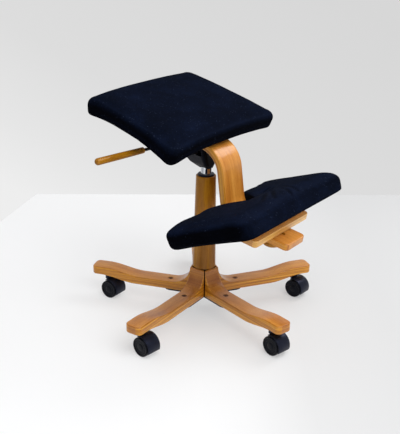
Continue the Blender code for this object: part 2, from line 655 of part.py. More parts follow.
def add_housing(chair, paint, steel):
    piece("mechanism_housing", housing_mesh(), paint, chair)
    low = -HOUSING_RIM - GAP
    high = BOARD_BOTTOM + SEAT_BOLT_IN_BOARD
    bolt = headed(SEAT_BOLT_RADIUS, SEAT_BOLT_HEAD_RADIUS, SEAT_BOLT_HEAD, low, high)
    for number, place in enumerate(seat_bolt_places(), 1):
        piece("seat_bolt_%d" % number, bolt.copy(), steel, chair, place)
    piece("lever_pin", rod(LEVER_PIN_RADIUS, -LEVER_PIN_HALF, LEVER_PIN_HALF, 12), steel, chair,
          shift(-LEVER_PIVOT, 0, LEVER_HEIGHT) @ Matrix.Rotation(pi / 2, 4, "X"))


def rounded_path(corners, radius, steps):
    """Points of a bent wire: straight runs with an arc at each inner corner."""
    path = [corners[0]]
    for before, here, after in zip(corners, corners[1:], corners[2:]):
        back = (before - here).normalized()
        ahead = (after - here).normalized()
        half = back.angle(ahead) / 2
        centre = here + (back + ahead).normalized() * radius / sin(half)
        start = here + back * radius / tan(half) - centre
        end = here + ahead * radius / tan(half) - centre
        path += [centre + start.slerp(end, k / steps) * radius for k in range(steps + 1)]
    return path + [corners[-1]]


def lever_line():
    """Corners of the lever's rod, from over the button to inside the handle."""
    slope = tan(radians(LEVER_SLOPE))
    near, far = LEVER_CRANK
    outer = Vector((-far, LEVER_SET_BACK, LEVER_HEIGHT + LEVER_LIFT))
    in_handle = HANDLE_START + HANDLE_BORE - GAP - far
    return [Vector((BUTTON_RADIUS, 0, LEVER_HEIGHT)), Vector((-near, 0, LEVER_HEIGHT)), outer,
            outer + Vector((-in_handle, 0, in_handle * slope))]


def tube_along(path, radius, sides):
    """Round tube through points, with flat closed ends."""
    rings = []
    across = Vector((0, 0, 1)).cross(path[1] - path[0]).normalized()
    for k, here in enumerate(path):
        ahead = (path[min(k + 1, len(path) - 1)] - path[max(k - 1, 0)]).normalized()
        across = (across - ahead * across.dot(ahead)).normalized()
        up = ahead.cross(across)
        rings.append([here + radius * (across * cos(a) + up * sin(a))
                      for a in (2 * pi * (j + 0.5) / sides for j in range(sides))])
    return loft(rings)


def add_lever(chair, paint, wood):
    pivot = shift(-LEVER_PIVOT, 0, LEVER_HEIGHT)
    axis = frame("lever_axis", pivot, chair)
    line = lever_line()
    wire = tube_along(rounded_path(line, LEVER_BEND, 5), LEVER_RADIUS, 10)
    hole = rod(LEVER_PIN_RADIUS + GAP, -LEVER_WELL, LEVER_WELL, 12)
    hole.transform(pivot @ Matrix.Rotation(pi / 2, 4, "X"))
    piece("lever_rod", moved(cut(wire, hole), pivot.inverted()), paint, axis)
    bore = LEVER_RADIUS + GAP
    soft = HANDLE_SOFT
    bulge = HANDLE_LENGTH * 0.6
    tip = [(HANDLE_END_RADIUS * cos(a), HANDLE_LENGTH - HANDLE_END_RADIUS * (1 - sin(a)))
           for a in (0, pi / 6, pi / 3)]
    handle = turned([(0, HANDLE_BORE), (bore, HANDLE_BORE), (bore, 0), (HANDLE_END_RADIUS - soft, 0),
                     (HANDLE_END_RADIUS, soft), (HANDLE_RADIUS, bulge), *tip, (0, HANDLE_LENGTH)], 20)
    aim = (line[3] - line[2]).normalized()
    start = line[2] + aim * ((HANDLE_START - LEVER_CRANK[1]) / -aim.x)
    turn = Vector((0, 0, 1)).rotation_difference(aim).to_matrix().to_4x4()
    piece("lever_handle", handle, wood, axis, pivot.inverted() @ Matrix.Translation(start) @ turn)


def cushion(front_width, rear_width, depth, thick, crown, corner, draw_in):
    """Upholstered slab: round sides that pull in between the corners, and a crowned top."""
    sides = 48
    plan = rounded_plan(front_width / 2, rear_width / 2, -depth / 2, depth / 2, corner, sides)
    full = []
    for k in range(len(plan)):
        here, after = Vector(plan[k]), Vector(plan[(k + 1) % len(plan)])
        full.append(here)
        if (after - here).length > corner:
            inward = Vector((here.y - after.y, after.x - here.x)).normalized()
            full += [here.lerp(after, u) + inward * draw_in * sin(pi * u) for u in (0.2, 0.4, 0.6, 0.8)]
    half = Vector((max(front_width, rear_width) / 2, depth / 2))
    radius = thick / 2
    turns = [radians(a) for a in (-90, -60, -30, 0, 30, 60)]
    levels = [(radius * (1 - cos(a)), radius * (1 + sin(a))) for a in turns]
    levels += [(radius + (half.y - radius) * s, thick + crown * (1 - (1 - s) ** 2) - CUSHION_LIP * (s == 0))
               for s in (0, 0.25, 0.5, 0.75, 0.96)]
    return loft([[(p.x * (1 - inset / half.x), p.y * (1 - inset / half.y), z) for p in full]
                 for inset, z in levels])


def hang(mesh, size, drop, share):
    """Lowers a cushion's points by a share of the drop; the share is taken at (across, along, up) in halves
    of the width and depth, and in whole thicknesses."""
    width, depth, thick = size
    split = bmesh.new()
    split.from_mesh(mesh)
    bmesh.ops.triangulate(split, faces=split.faces[:])
    split.to_mesh(mesh)
    split.free()
    for point in mesh.vertices:
        x, y, z = point.co
        point.co.z -= drop * share(abs(x) * 2 / width, y * 2 / depth, min(1, z / thick))
    return mesh


def strap_line():
    """Corners of the strap's middle line, from under the seat to the tongue's tip."""
    rear = SEAT_FRAME @ Vector((0, STRAP_REAR, STRAP_LEVEL))
    return [rear, STRAP_CORNER_TOP, STRAP_CORNER_LOW, TONGUE_TIP]


def strap_stations():
    """(point, direction) pairs along the strap's middle line."""
    line = strap_line()
    found = []
    for before, here, after, radius in zip(line, line[1:], line[2:], (STRAP_TOP_BEND, STRAP_LOW_BEND)):
        path = rounded_path([before, here, after], radius, 8)[1:-1]
        start = (here - before).normalized()
        end = (after - here).normalized()
        found += [(p, start.slerp(end, k / 8)) for k, p in enumerate(path)]
    return found


def strap_mesh():
    """Bent laminate: rounded-rectangle section swept along the middle line."""
    line = strap_line()
    half = STRAP_WIDTH / 2
    run_in = (line[1] - line[0]).normalized()
    run_out = (line[3] - line[2]).normalized()
    ends = corner_stations(0, STRAP_END_CORNER, half)
    stations = [(line[0] - run_in * d, run_in, w) for d, w in reversed(ends)]
    stations += [(p, d, half) for p, d in strap_stations()]
    stations += [(line[3] + run_out * d, run_out, w) for d, w in ends]
    rings = []
    for point, ahead, wide in stations:
        up = Vector((0, ahead.z, -ahead.y))
        rings.append([point + Vector((x, 0, 0)) + up * z
                      for x, z in section(wide, STRAP_THICK / 2, -STRAP_THICK / 2, STRAP_EDGE)])
    width = BOLT_RADIUS + GAP
    front = CLAMP_AT - CARRIER_TRAVEL - SLOT_END_CLEAR
    rear = CLAMP_AT + SLOT_END_CLEAR
    slot = arc((0, front), width, 180, 360, 8) + arc((0, rear), width, 0, 180, 8)
    tools = [moved(prism(slot, -2 * STRAP_THICK, STRAP_THICK), KNEE_FRAME)]
    for place in seat_bolt_places():
        tools.append(moved(rod(SEAT_BOLT_RADIUS + GAP, -STRAP_THICK, 2 * STRAP_THICK, 12), place))
    return cut(loft(rings), *tools)


def add_seat(chair, cloth, ply):
    slope = frame("seat_frame", SEAT_FRAME, chair)
    middle = shift(0, SEAT_BACK, BOARD_BOTTOM)
    half_x = SEAT_REAR_WIDTH / 2 - SEAT_BOARD_SIDE
    half_y = SEAT_DEPTH / 2 - SEAT_BOARD_MARGIN
    outline = rounded_plan(half_x, half_x, -half_y, half_y, SEAT_CORNER / 2, 24)
    board = prism(outline, 0, BOARD_THICK)
    into_board = (SEAT_FRAME @ middle).inverted()
    depth = SEAT_BOLT_IN_BOARD + GAP
    drills = [moved(rod(SEAT_BOLT_RADIUS + GAP, 0, BOARD_BOTTOM + depth, 12), into_board @ place)
              for place in seat_bolt_places()]
    piece("seat_board", cut(board, *drills), ply, slope, middle)
    pocket = rounded_plan(half_x + GAP, half_x + GAP, -half_y - GAP, half_y + GAP, SEAT_CORNER / 2, 24)
    pad = cushion(SEAT_FRONT_WIDTH, SEAT_REAR_WIDTH, SEAT_DEPTH, SEAT_THICK, SEAT_CROWN, SEAT_CORNER,
                  SEAT_DRAW_IN)
    pad = cut(pad, prism(pocket, -BOARD_THICK, BOARD_THICK + GAP))
    hang(pad, (SEAT_FRONT_WIDTH, SEAT_DEPTH, SEAT_THICK), SEAT_DROOP,
         lambda across, along, up: min(1, across * abs(along)) ** 5)
    piece("seat_cushion", pad, cloth, slope, middle)


def knob_mesh():
    """Turned wooden hand knob with a blind hole for the clamp bolt, top at height 0."""
    bore = BOLT_RADIUS + GAP
    belly = KNOB_HEIGHT * 0.55
    round_foot = [(KNOB_RADIUS - belly * (1 - cos(a)), -KNOB_HEIGHT + belly * (1 - sin(a)))
                  for a in (0, pi / 6, pi / 3, pi / 2)]
    return turned([(0, -KNOB_HOLE - GAP), (bore, -KNOB_HOLE - GAP), (bore, 0), (KNOB_NECK, 0),
                   (KNOB_RADIUS - KNOB_SHOULDER, -KNOB_HEIGHT * 0.3), *round_foot, (0, -KNOB_HEIGHT)], 24)


def bar_mesh():
    """Cross bar with rounded ends along X, and two bevelled seats for the pad's board."""
    half = BAR_DEPTH / 2
    ends = corner_stations(BAR_HALF_LENGTH, BAR_CORNER, half)
    stations = [(-x, w) for x, w in reversed(ends)] + ends
    rings = [[(x, CLAMP_AT + y, z) for y, z in section(w, BAR_TOP, GAP, STRAP_EDGE)] for x, w in stations]
    front = BAR_REAR - WEDGE_DEPTH
    low = BAR_TOP - STRAP_EDGE
    rise = GAP / cos(PAD_ANGLE)
    rear = BAR_REAR - STRAP_EDGE
    outline = [(front, low), (rear, low), (rear, pad_height(rear) - rise),
               (front, pad_height(front) - rise)]
    width = (WEDGE_OUTER - WEDGE_INNER) / 2
    wedges = [side_prism(outline, width, sign * (WEDGE_INNER + width)) for sign in (-1, 1)]
    hole = moved(rod(BOLT_RADIUS + GAP, -BAR_TOP, 2 * BAR_TOP, 12), shift(0, CLAMP_AT, 0))
    return cut(fused(loft(rings), *wedges), hole)


def pad_height(y):
    """Height of the pad's underside over the tongue, in the knee frame."""
    return PAD_LEVEL + (PAD_MIDDLE - y) * tan(PAD_ANGLE)


def channel_mesh():
    """Space round the strap where it passes through the pad, in the chair's frame."""
    skin = STRAP_THICK / 2 + STRAP_CLEAR
    front = [p + Vector((0, d.z, -d.y)) * skin for p, d in strap_stations()[9:]]
    up = (STRAP_CORNER_TOP - STRAP_CORNER_LOW).normalized()
    ahead = (TONGUE_TIP - STRAP_CORNER_LOW).normalized()
    curve = [front[0] + up * PAD_THICK] + front + [front[-1] + ahead * PAD_DEPTH / 4]
    drop = Vector((0, 0, -PAD_DEPTH / 2))
    behind = Vector((0, PAD_DEPTH, 0))
    outline = curve + [curve[-1] + drop, curve[-1] + drop + behind, curve[0] + behind]
    return side_prism([(p.y, p.z) for p in outline], STRAP_WIDTH / 2 + STRAP_CLEAR)


def pad_mesh():
    """Knee pad with a V notch for the strap, its underside at height 0."""
    pad = cushion(PAD_FRONT_WIDTH, PAD_REAR_WIDTH, PAD_DEPTH, PAD_THICK, PAD_CROWN, PAD_CORNER, PAD_DRAW_IN)
    rear = PAD_DEPTH / 2 + NOTCH_ROUND
    apex = (0, NOTCH_APEX + NOTCH_ROUND)
    spread = (NOTCH_HALF_WIDTH - NOTCH_ROUND) / (PAD_DEPTH / 2 - apex[1])
    wide = NOTCH_ROUND + spread * (rear - apex[1])
    notch = [(-wide, rear)] + arc(apex, NOTCH_ROUND, 200, 340, 6) + [(wide, rear)]
    pocket = box((-PAD_BOARD_HALF - GAP, -PAD_BOARD_FRONT - GAP, -PAD_THICK),
                 (PAD_BOARD_HALF + GAP, PAD_BOARD_BACK + GAP, BOARD_THICK + GAP))
    channel = moved(channel_mesh(), PAD_FRAME.inverted())
    pad = cut(pad, pocket, prism(notch, -PAD_THICK, 2 * PAD_THICK), channel)
    end = (PAD_BOARD_HALF + GAP) * 2 / PAD_REAR_WIDTH

    def share(across, along, up):
        beyond = max(0, (across - end) / (1 - end))
        return beyond ** 1.5 * max(up, max(0, along) ** 2)

    return hang(pad, (PAD_REAR_WIDTH, PAD_DEPTH, PAD_THICK), PAD_DROOP, share)


def add_knee(chair, wood, cloth, ply, steel):
    knee = frame("knee_frame", KNEE_FRAME, chair)
    slope = frame("pad_frame", KNEE_FRAME.inverted() @ PAD_FRAME, knee)
    piece("knee_cross_bar", bar_mesh(), wood, knee)
    knob_top = -STRAP_THICK - GAP
    piece("clamp_knob", knob_mesh(), wood, knee, shift(0, CLAMP_AT, knob_top))
    seat = BAR_TOP + GAP
    low = knob_top - KNOB_HOLE
    bolt = turned([(0, low), (BOLT_RADIUS, low), (BOLT_RADIUS, seat), (CLAMP_HEAD_RADIUS, seat),
                   (CLAMP_HEAD_RADIUS, seat + CLAMP_HEAD * 0.4), (CLAMP_HEAD_RADIUS * 0.7, seat + CLAMP_HEAD),
                   (0, seat + CLAMP_HEAD)], 16)
    piece("clamp_bolt", bolt, steel, knee, shift(0, CLAMP_AT, 0))
    board = box((-PAD_BOARD_HALF, -PAD_BOARD_FRONT, 0), (PAD_BOARD_HALF, PAD_BOARD_BACK, BOARD_THICK))
    piece("knee_board", board, ply, slope)
    piece("knee_pad", pad_mesh(), cloth, slope)


def main():
    for old in list(bpy.data.objects):
        bpy.data.objects.remove(old)
    beech = finish("lacquered_beech", "#C08A5A", 0.35, 0.0)
    ply = finish("birch_plywood", "#C9A877", 0.6, 0.0)
    cloth = finish("navy_wool", "#141A2B", 0.95, 0.0)
    plastic = finish("black_nylon", "#15161A", 0.45, 0.0)
    tread = finish("black_tread", "#1B1C20", 0.55, 0.0)
    paint = finish("black_paint", "#17181B", 0.4, 0.0)
    steel = finish("zinc_steel", "#8C8F93", 0.4, 1.0)
    chrome = finish("chrome", "#D5D7DA", 0.12, 1.0)
    chair = frame("chair", shift(COLUMN_X, COLUMN_Y, 0), None)
    add_base(chair, beech, steel, paint)
    add_casters(chair, plastic, tread, steel)
    add_column(chair, beech, paint, steel, chrome, plastic)
    add_housing(chair, paint, steel)
    add_lever(chair, paint, beech)
    piece("knee_strap", strap_mesh(), beech, chair)
    add_seat(chair, cloth, ply)
    add_knee(chair, beech, cloth, ply, steel)


main()
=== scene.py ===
"""Dresses the kneeling chair: laminated beech, wool cushions, moulded casters, and a pale studio."""
import bmesh
import bpy
import json
from math import atan2, cos, exp, pi, radians, sin, tan
from mathutils import Matrix, Vector


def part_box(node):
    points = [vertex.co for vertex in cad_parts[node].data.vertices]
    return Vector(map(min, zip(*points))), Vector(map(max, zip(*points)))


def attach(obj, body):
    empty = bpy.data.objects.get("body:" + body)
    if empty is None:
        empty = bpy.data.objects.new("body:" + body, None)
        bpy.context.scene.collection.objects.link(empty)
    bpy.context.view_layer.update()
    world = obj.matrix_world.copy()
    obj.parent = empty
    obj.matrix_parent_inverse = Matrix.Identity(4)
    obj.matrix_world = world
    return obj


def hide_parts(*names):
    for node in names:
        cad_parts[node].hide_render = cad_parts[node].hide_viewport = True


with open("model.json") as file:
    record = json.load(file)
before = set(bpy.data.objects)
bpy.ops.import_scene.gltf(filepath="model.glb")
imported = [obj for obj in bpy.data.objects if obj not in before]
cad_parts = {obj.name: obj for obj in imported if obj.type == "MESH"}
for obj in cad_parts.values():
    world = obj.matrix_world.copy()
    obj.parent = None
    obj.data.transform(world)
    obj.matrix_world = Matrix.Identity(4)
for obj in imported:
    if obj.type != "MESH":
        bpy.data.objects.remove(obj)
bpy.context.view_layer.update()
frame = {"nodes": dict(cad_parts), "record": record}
JOINTS = {j["name"]: j for j in frame["record"]["behaviour"]["joints"]}

MM = 0.001
GAP = 0.3 * MM
WELD = 0.01 * MM                # points closer than this are one
COLUMN = Vector((*JOINTS["seat_swivel"]["pos_m"][:2], 0))

# Base: heights come from the solids, plan sizes are the photographed ones
ARM_COUNT = 5
ARM_HEADING = radians(39.9)
ARM_REACH = 310.5 * MM
ARM_WIDTH = 45.8 * MM
ARM_THICK = 22.3 * MM
ARM_RISE = 14 * MM
ARM_RISE_END = ARM_REACH - 25.5 * MM
ARM_RISE_RUN = 98 * MM
ARM_RISE_LAG = 14 * MM         # the underside rises this much further out than the top
ARM_TIP_CORNER = 12.6 * MM
ARM_EDGE = 4.4 * MM
ARM_INNER = 26.3 * MM
ARM_MITRE_GAP = 3 * MM
ARM_MITRE_EDGE = 0.6 * MM
COLLAR_RADIUS = 32 * MM
COLLAR_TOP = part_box("base_arm_1")[1].z
COLLAR_HEIGHT = 51.5 * MM
ARM_TOP = COLLAR_TOP - COLLAR_HEIGHT
BOLT_CIRCLE = 91.3 * MM
BOLT_SINK = 5.2 * MM
BOLT_SINK_RADIUS = 6.8 * MM
FLARE_STEPS = 12
RISE_STEPS = 20
GRAIN_STEP = Vector((0.37, 0.11, 0))    # from one arm's place in the timber to the next

# Column
SLEEVE_FOOT_RADIUS = 30.2 * MM
SLEEVE_TOP_RADIUS = 25.5 * MM
SLEEVE_BORE = 21.6 * MM
SLEEVE_FOOT_EDGE = 2 * MM
SLEEVE_TOP_EDGE = 2.4 * MM
BUSH_BORE = 14.3 * MM
BUSH_RADIUS = 18.2 * MM
BUSH_FLANGE_RADIUS = 21 * MM
BUSH_FLANGE = 4 * MM
BUSH_EDGE = 1.6 * MM
SPRING_RADIUS = 14 * MM
SPRING_EDGE = 1 * MM
SPRING_TOP_RADIUS = 13.2 * MM
SPRING_TAPER = 36.5 * MM
ROD_BORE = 5.4 * MM
BUTTON_BORE = 4.4 * MM
BUTTON_WELL = 10.4 * MM

# Casters
CASTER_TRAIL = 13 * MM
WHEEL_RADIUS = 25 * MM
WHEEL_WIDTH = 17.5 * MM
WHEEL_SIDE_GAP = 0.6 * MM
WHEEL_BORE = 3.4 * MM
WEB_THICK = 7.6 * MM
WEB_FOOT = 8.5 * MM
FENDER_INNER = 26.6 * MM
FENDER_THICK = 2.2 * MM
FENDER_FRONT = radians(66)
FENDER_SET_IN = 2.4 * MM       # the wheels' rims stand out past the cover
FENDER_TAIL = radians(-22)
FENDER_EDGE = 0.9 * MM
FENDER_STEPS = 40
HOOD_BOSS = 10.5 * MM
HOOD_BOSS_ROOT = 1.6 * MM       # how far the boss reaches into the fender
HOOD_BOSS_EDGE = 1.2 * MM
HOOD_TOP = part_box("caster_1_hood")[1].z
STEM_BORE = 5.8 * MM
STEM_IN_HOOD = 9.8 * MM
AXLE_BORE = 3.3 * MM

# Seat, strap and knee rest
SEAT_TILT = radians(15)
SEAT_BACK = 94 * MM             # middle of the seat behind the column, along the slope
TONGUE_SLOPE = radians(9)
PAD_TILT = radians(20.3)
BOARD_THICK = 9 * MM
STRAP_WIDTH = 83 * MM
STRAP_THICK = 18 * MM
STRAP_EDGE = 3 * MM
STRAP_END_CORNER = 12 * MM
STRAP_REAR = 154 * MM
STRAP_REACH = 64.8 * MM
STRAP_LEAN = radians(8.5)
STRAP_DROP = 160.5 * MM
STRAP_TOP_BEND = 69 * MM
STRAP_LOW_BEND = 59 * MM
STRAP_BEND_STEPS = 24
STRAP_CLEAR = 2.5 * MM          # room that the knee cover leaves round the strap
STRAP_ROOM = (0, 150 * MM, -90 * MM)    # how far back and down that room goes
TONGUE_LENGTH = 185.5 * MM
BAR_SET_BACK = 41.5 * MM
BAR_DEPTH = 50 * MM
BAR_HALF_LENGTH = 119 * MM
BAR_THICK = 19 * MM
BAR_CORNER = 10 * MM
BAR_EDGE = 2.6 * MM
CLAMP_AT = BAR_SET_BACK + BAR_DEPTH / 2
CARRIER_TRAVEL = JOINTS["knee_slide"]["range_m"][1]
BAR_TOP = GAP + BAR_THICK
BAR_REAR = BAR_SET_BACK + BAR_DEPTH
PAD_ANGLE = PAD_TILT + TONGUE_SLOPE
PAD_BACK = 9.5 * MM             # middle of the pad behind the bar
PAD_LIFT = 2.4 * MM             # its board above the bar's rear edge
PAD_MIDDLE = BAR_REAR + PAD_BACK
PAD_LEVEL = BAR_TOP + PAD_LIFT - PAD_BACK * tan(PAD_ANGLE)
WEDGE_DEPTH = 27 * MM
WEDGE_SPAN = (22 * MM, 102 * MM)
BOLT_BORE = 4.3 * MM
SLOT_HALF_WIDTH = 4.3 * MM
KNOB_RADIUS = 26 * MM
KNOB_HEIGHT = 24 * MM
KNOB_BELLY = 0.55 * KNOB_HEIGHT
KNOB_WAIST = 0.3 * KNOB_HEIGHT
KNOB_WAIST_IN = 2 * MM
KNOB_NECK = 17 * MM
KNOB_NECK_EDGE = 0.6 * MM
KNOB_HOLE = 16.3 * MM

# Lever handle
HANDLE_SLOPE = radians(3.6)
HANDLE_LENGTH = 162 * MM
HANDLE_BELLY = 8.3 * MM
HANDLE_TIP = 0.8 * HANDLE_BELLY  # length of its rounded tip
HANDLE_END = 7.7 * MM
HANDLE_BORE = 4.3 * MM
HANDLE_HOLE = 30 * MM
HANDLE_START = (3 * MM, 7 * MM)  # in from the box of its solid, and up


shift = Matrix.Translation


def corners(node):
    """Lowest and highest corner of a CAD node as vectors."""
    low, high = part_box(node)
    return Vector(low), Vector(high)


def middle(node):
    """Middle of a CAD node's box."""
    low, high = corners(node)
    return (low + high) / 2


# The boards are plain slabs, so the middle of a board's box is the middle of the board
SEAT_TURN = Matrix.Rotation(SEAT_TILT, 4, "X")
SEAT_FLOOR = middle("seat_board") + SEAT_TURN @ Vector((0, 0, -BOARD_THICK / 2))
STRAP_LEVEL = -GAP - STRAP_THICK / 2
SEAT_SLOPE = SEAT_TURN @ Vector((0, 1, 0))
SEAT_UP = SEAT_TURN @ Vector((0, 0, 1))


# Modelling by hand, in small steps

def clear_hands():
    """Object mode with nothing selected."""
    if bpy.context.object and bpy.context.object.mode != "OBJECT":
        bpy.ops.object.mode_set(mode="OBJECT")
    bpy.ops.object.select_all(action="DESELECT")


def take(piece):
    """Makes a piece the active one, with nothing else selected."""
    clear_hands()
    piece.select_set(True)
    bpy.context.view_layer.objects.active = piece


def edit(piece):
    """Opens one piece in edit mode with everything in it selected."""
    take(piece)
    bpy.ops.object.mode_set(mode="EDIT")
    bpy.ops.mesh.select_all(action="SELECT")


def done():
    """Back to object mode; the active piece is handed back."""
    bpy.ops.object.mode_set(mode="OBJECT")
    return bpy.context.object


def pick(test, kind="VERT"):
    """In edit mode, selects only the points that pass a test, or the edges whose two ends together do."""
    bpy.ops.mesh.select_mode(type=kind)
    bpy.ops.mesh.select_all(action="DESELECT")
    mesh = bmesh.from_edit_mesh(bpy.context.object.data)
    for part in mesh.verts if kind == "VERT" else mesh.edges:
        ends = [part] if kind == "VERT" else part.verts
        part.select_set(test(*(p.co for p in ends)))
    bmesh.update_edit_mesh(bpy.context.object.data)


def tidy_mesh():
    """In edit mode, closes open ends and turns every face outwards."""
    bpy.ops.mesh.select_mode(type="VERT")
    bpy.ops.mesh.select_all(action="SELECT")
    bpy.ops.mesh.remove_doubles(threshold=WELD)
    bpy.ops.mesh.fill_holes(sides=0)
    bpy.ops.mesh.normals_make_consistent(inside=False)


def apply_step(piece, kind, **settings):
    """Adds one modifier, sets it and applies it."""
    take(piece)
    step = piece.modifiers.new("step", kind)
    for name, value in settings.items():
        setattr(step, name, value)
    bpy.ops.object.modifier_apply(modifier=step.name)


def carve(piece, tool, operation="DIFFERENCE"):
    """Cuts a tool from a piece, or joins it on, and throws the tool away."""
    apply_step(piece, "BOOLEAN", object=tool, operation=operation, solver="EXACT")
    bpy.data.objects.remove(tool)


def soften(piece, width, segments=4, angle=40):
    """Rounds the edges that are sharper than an angle."""
    apply_step(piece, "BEVEL", width=width, segments=segments, limit_method="ANGLE", angle_limit=radians(angle))


def round_corners(piece, radius, segments=8):
    """Rounds the edges that rise."""
    edit(piece)
    pick(lambda a, b: abs(a.z - b.z) > MM, "EDGE")
    bpy.ops.mesh.bevel(offset=radius, segments=segments, affect="EDGES")
    done()


def place(piece, matrix):
    """Moves a piece's mesh, so that its object stays at the origin."""
    piece.data.transform(matrix)
    piece.data.update()


def lean(aim):
    """The turn that takes +Z to a direction."""
    return Vector((0, 0, 1)).rotation_difference(aim).to_matrix().to_4x4()


def cube(centre, size):
    """A box of a size round a centre."""
    clear_hands()
    bpy.ops.mesh.primitive_cube_add(size=1)
    made = bpy.context.object
    place(made, shift(centre) @ Matrix.Diagonal((*size, 1)))
    return made


def put(thing):
    """Links a new object to the scene."""
    bpy.context.scene.collection.objects.link(thing)
    return thing


def copied(master):
    """A copy of a piece with its own mesh."""
    made = master.copy()
    made.data = master.data.copy()
    return put(made)


def first_edge(start, along):
    """A plane cut down to one edge of a given direction and length, in edit mode."""
    clear_hands()
    bpy.ops.mesh.primitive_plane_add(size=1)
    bpy.ops.object.mode_set(mode="EDIT")
    pick(lambda p: p.y > 0)
    bpy.ops.mesh.delete(type="VERT")
    bpy.ops.object.mode_set(mode="OBJECT")
    piece = bpy.context.object
    for point in piece.data.vertices:
        point.co = start + along * (0.5 if point.co.x > 0 else -0.5)
    edit(piece)
    return piece


def pull(step):
    """Extrudes what is selected by a step."""
    bpy.ops.mesh.extrude_region_move(TRANSFORM_OT_translate={"value": step})


def turned(profile, sides=64, ring=False):
    """A circle pulled and resized through (radius, height) points; a ring comes back to its start."""
    clear_hands()
    bpy.ops.mesh.primitive_circle_add(vertices=sides, radius=profile[0][0], location=(0, 0, profile[0][1]))
    bpy.ops.object.transform_apply(location=True)
    bpy.ops.object.mode_set(mode="EDIT")
    bpy.ops.mesh.select_all(action="SELECT")
    before = profile[0]
    for after in profile[1:] + (profile[:1] if ring else []):
        pull((0, 0, after[1] - before[1]))
        grow = after[0] / before[0]
        bpy.ops.transform.resize(value=(grow, grow, 1), center_override=(0, 0, after[1]))
        before = after
    tidy_mesh()
    return done()


def quarter(steps):
    """Angles from level to upright."""
    return [pi / 2 * k / steps for k in range(steps + 1)]


def round_over(radius, height, edge):
    """Profile points of a rounded top rim."""
    return [(radius - edge * (1 - cos(a)), height - edge * (1 - sin(a))) for a in quarter(5)]


# Materials

def linear(hex_colour):
    """sRGB hex to linear RGBA."""
    parts = [int(hex_colour[i:i + 2], 16) / 255 for i in (1, 3, 5)]
    return [c / 12.92 if c <= 0.04045 else ((c + 0.055) / 1.055) ** 2.4 for c in parts] + [1.0]


def feed(tree, node, **inputs):
    """Gives a node's inputs, by name or as _number, their values or links."""
    for name, value in inputs.items():
        socket = node.inputs[int(name[1:])] if name[0] == "_" else node.inputs[name.replace("_", " ")]
        if isinstance(value, bpy.types.NodeSocket):
            tree.links.new(value, socket)
        else:
            socket.default_value = value


def add(tree, kind, settings=None, stops=(), out=0, **inputs):
    """Adds a node with its settings, a ramp's stops as (place, sRGB hex), and its inputs; hands back one output."""
    made = tree.nodes.new("ShaderNode" + kind)
    for name, value in (settings or {}).items():
        setattr(made, name, value)
    for number, (where, colour) in enumerate(stops):
        band = made.color_ramp.elements
        stop = band[number] if number < len(band) else band.new(where)
        stop.position = where
        stop.color = linear(colour)
    feed(tree, made, **inputs)
    return made.outputs[out]


def streaks(tree, where, size, **settings):
    """Noise whose grains have a size in metres."""
    scaled = add(tree, "Mapping", Vector=where, Scale=[1 / s for s in size])
    return add(tree, "TexNoise", Vector=scaled, Scale=1.0, **settings)


def blend(tree, share, first, second, kind="MIX"):
    """Two colours mixed by a share."""
    return add(tree, "Mix", {"data_type": "RGBA", "blend_type": kind}, Factor=share, _6=first, _7=second, out=2)


def new_material(name):
    """A node material, its tree and its shader."""
    made = bpy.data.materials.new(name)
    made.use_nodes = True
    return made, made.node_tree, made.node_tree.nodes["Principled BSDF"]


def beech(name, dark, body, light, edges=("#A66612", "#C27E18", "#D6962A"), coat=0.65, gleam=0.2):
    """Lacquered beech: short fine grain along the piece, warm faces, yellower glued edges."""
    made, tree, shader = new_material(name)
    grain = add(tree, "Attribute", {"attribute_name": "grain"}, out="Vector")
    side = add(tree, "Attribute", {"attribute_name": "side"}, out="Fac")
    bands = streaks(tree, grain, (0.160, 0.025, 0.025), Detail=3.0, Roughness=0.55)
    lines = streaks(tree, grain, (0.060, 0.002, 0.002), Detail=4.0, Roughness=0.6)
    pores = streaks(tree, grain, (0.009, 0.001, 0.001), Detail=1.0)
    mixed = add(tree, "Mix", {"data_type": "FLOAT"}, Factor=0.34, A=bands, B=lines)
    face = add(tree, "ValToRGB", stops=[(0.30, dark), (0.48, body), (0.70, light)], Fac=mixed)
    # veneers of about 1.5 mm, drawn at 3 mm so that they show
    plies = streaks(tree, grain, (0.300, 0.300, 0.003), Detail=1.0)
    edge = add(tree, "ValToRGB", stops=[*zip((0.35, 0.5, 0.66), edges)], Fac=plies)
    colour = blend(tree, side, face, edge)
    pits = add(tree, "ValToRGB", stops=[(0.30, "#A98868"), (0.42, "#FFFFFF")], Fac=pores)
    pored = blend(tree, 0.35, colour, pits, "MULTIPLY")
    # darker on the rounded edges, where the side's share is half
    rim = add(tree, "ValToRGB", stops=[(0.0, "#FFFFFF"), (0.3, "#B08A68"), (0.7, "#FFFFFF")], Fac=side)
    worn = blend(tree, 0.7, pored, rim, "MULTIPLY")
    gloss = add(tree, "MapRange", Value=lines, To_Min=0.34, To_Max=0.46)
    bump = add(tree, "Bump", Height=lines, Strength=0.05, Distance=0.0003)
    feed(tree, shader, Base_Color=worn, Roughness=gloss, Normal=bump, Specular_IOR_Level=gleam, Coat_Weight=coat,
         Coat_Roughness=0.2)
    return made


def plywood():
    """Birch plywood, sawn and left bare: pale, dull, with soft long grain."""
    made, tree, shader = new_material("birch_plywood")
    where = add(tree, "TexCoord", out="Object")
    grain = streaks(tree, where, (0.120, 0.004, 0.004), Detail=4.0)
    colour = add(tree, "ValToRGB", stops=[(0.3, "#B8945F"), (0.7, "#D6B98A")], Fac=grain)
    feed(tree, shader, Base_Color=colour, Roughness=0.7)
    return made


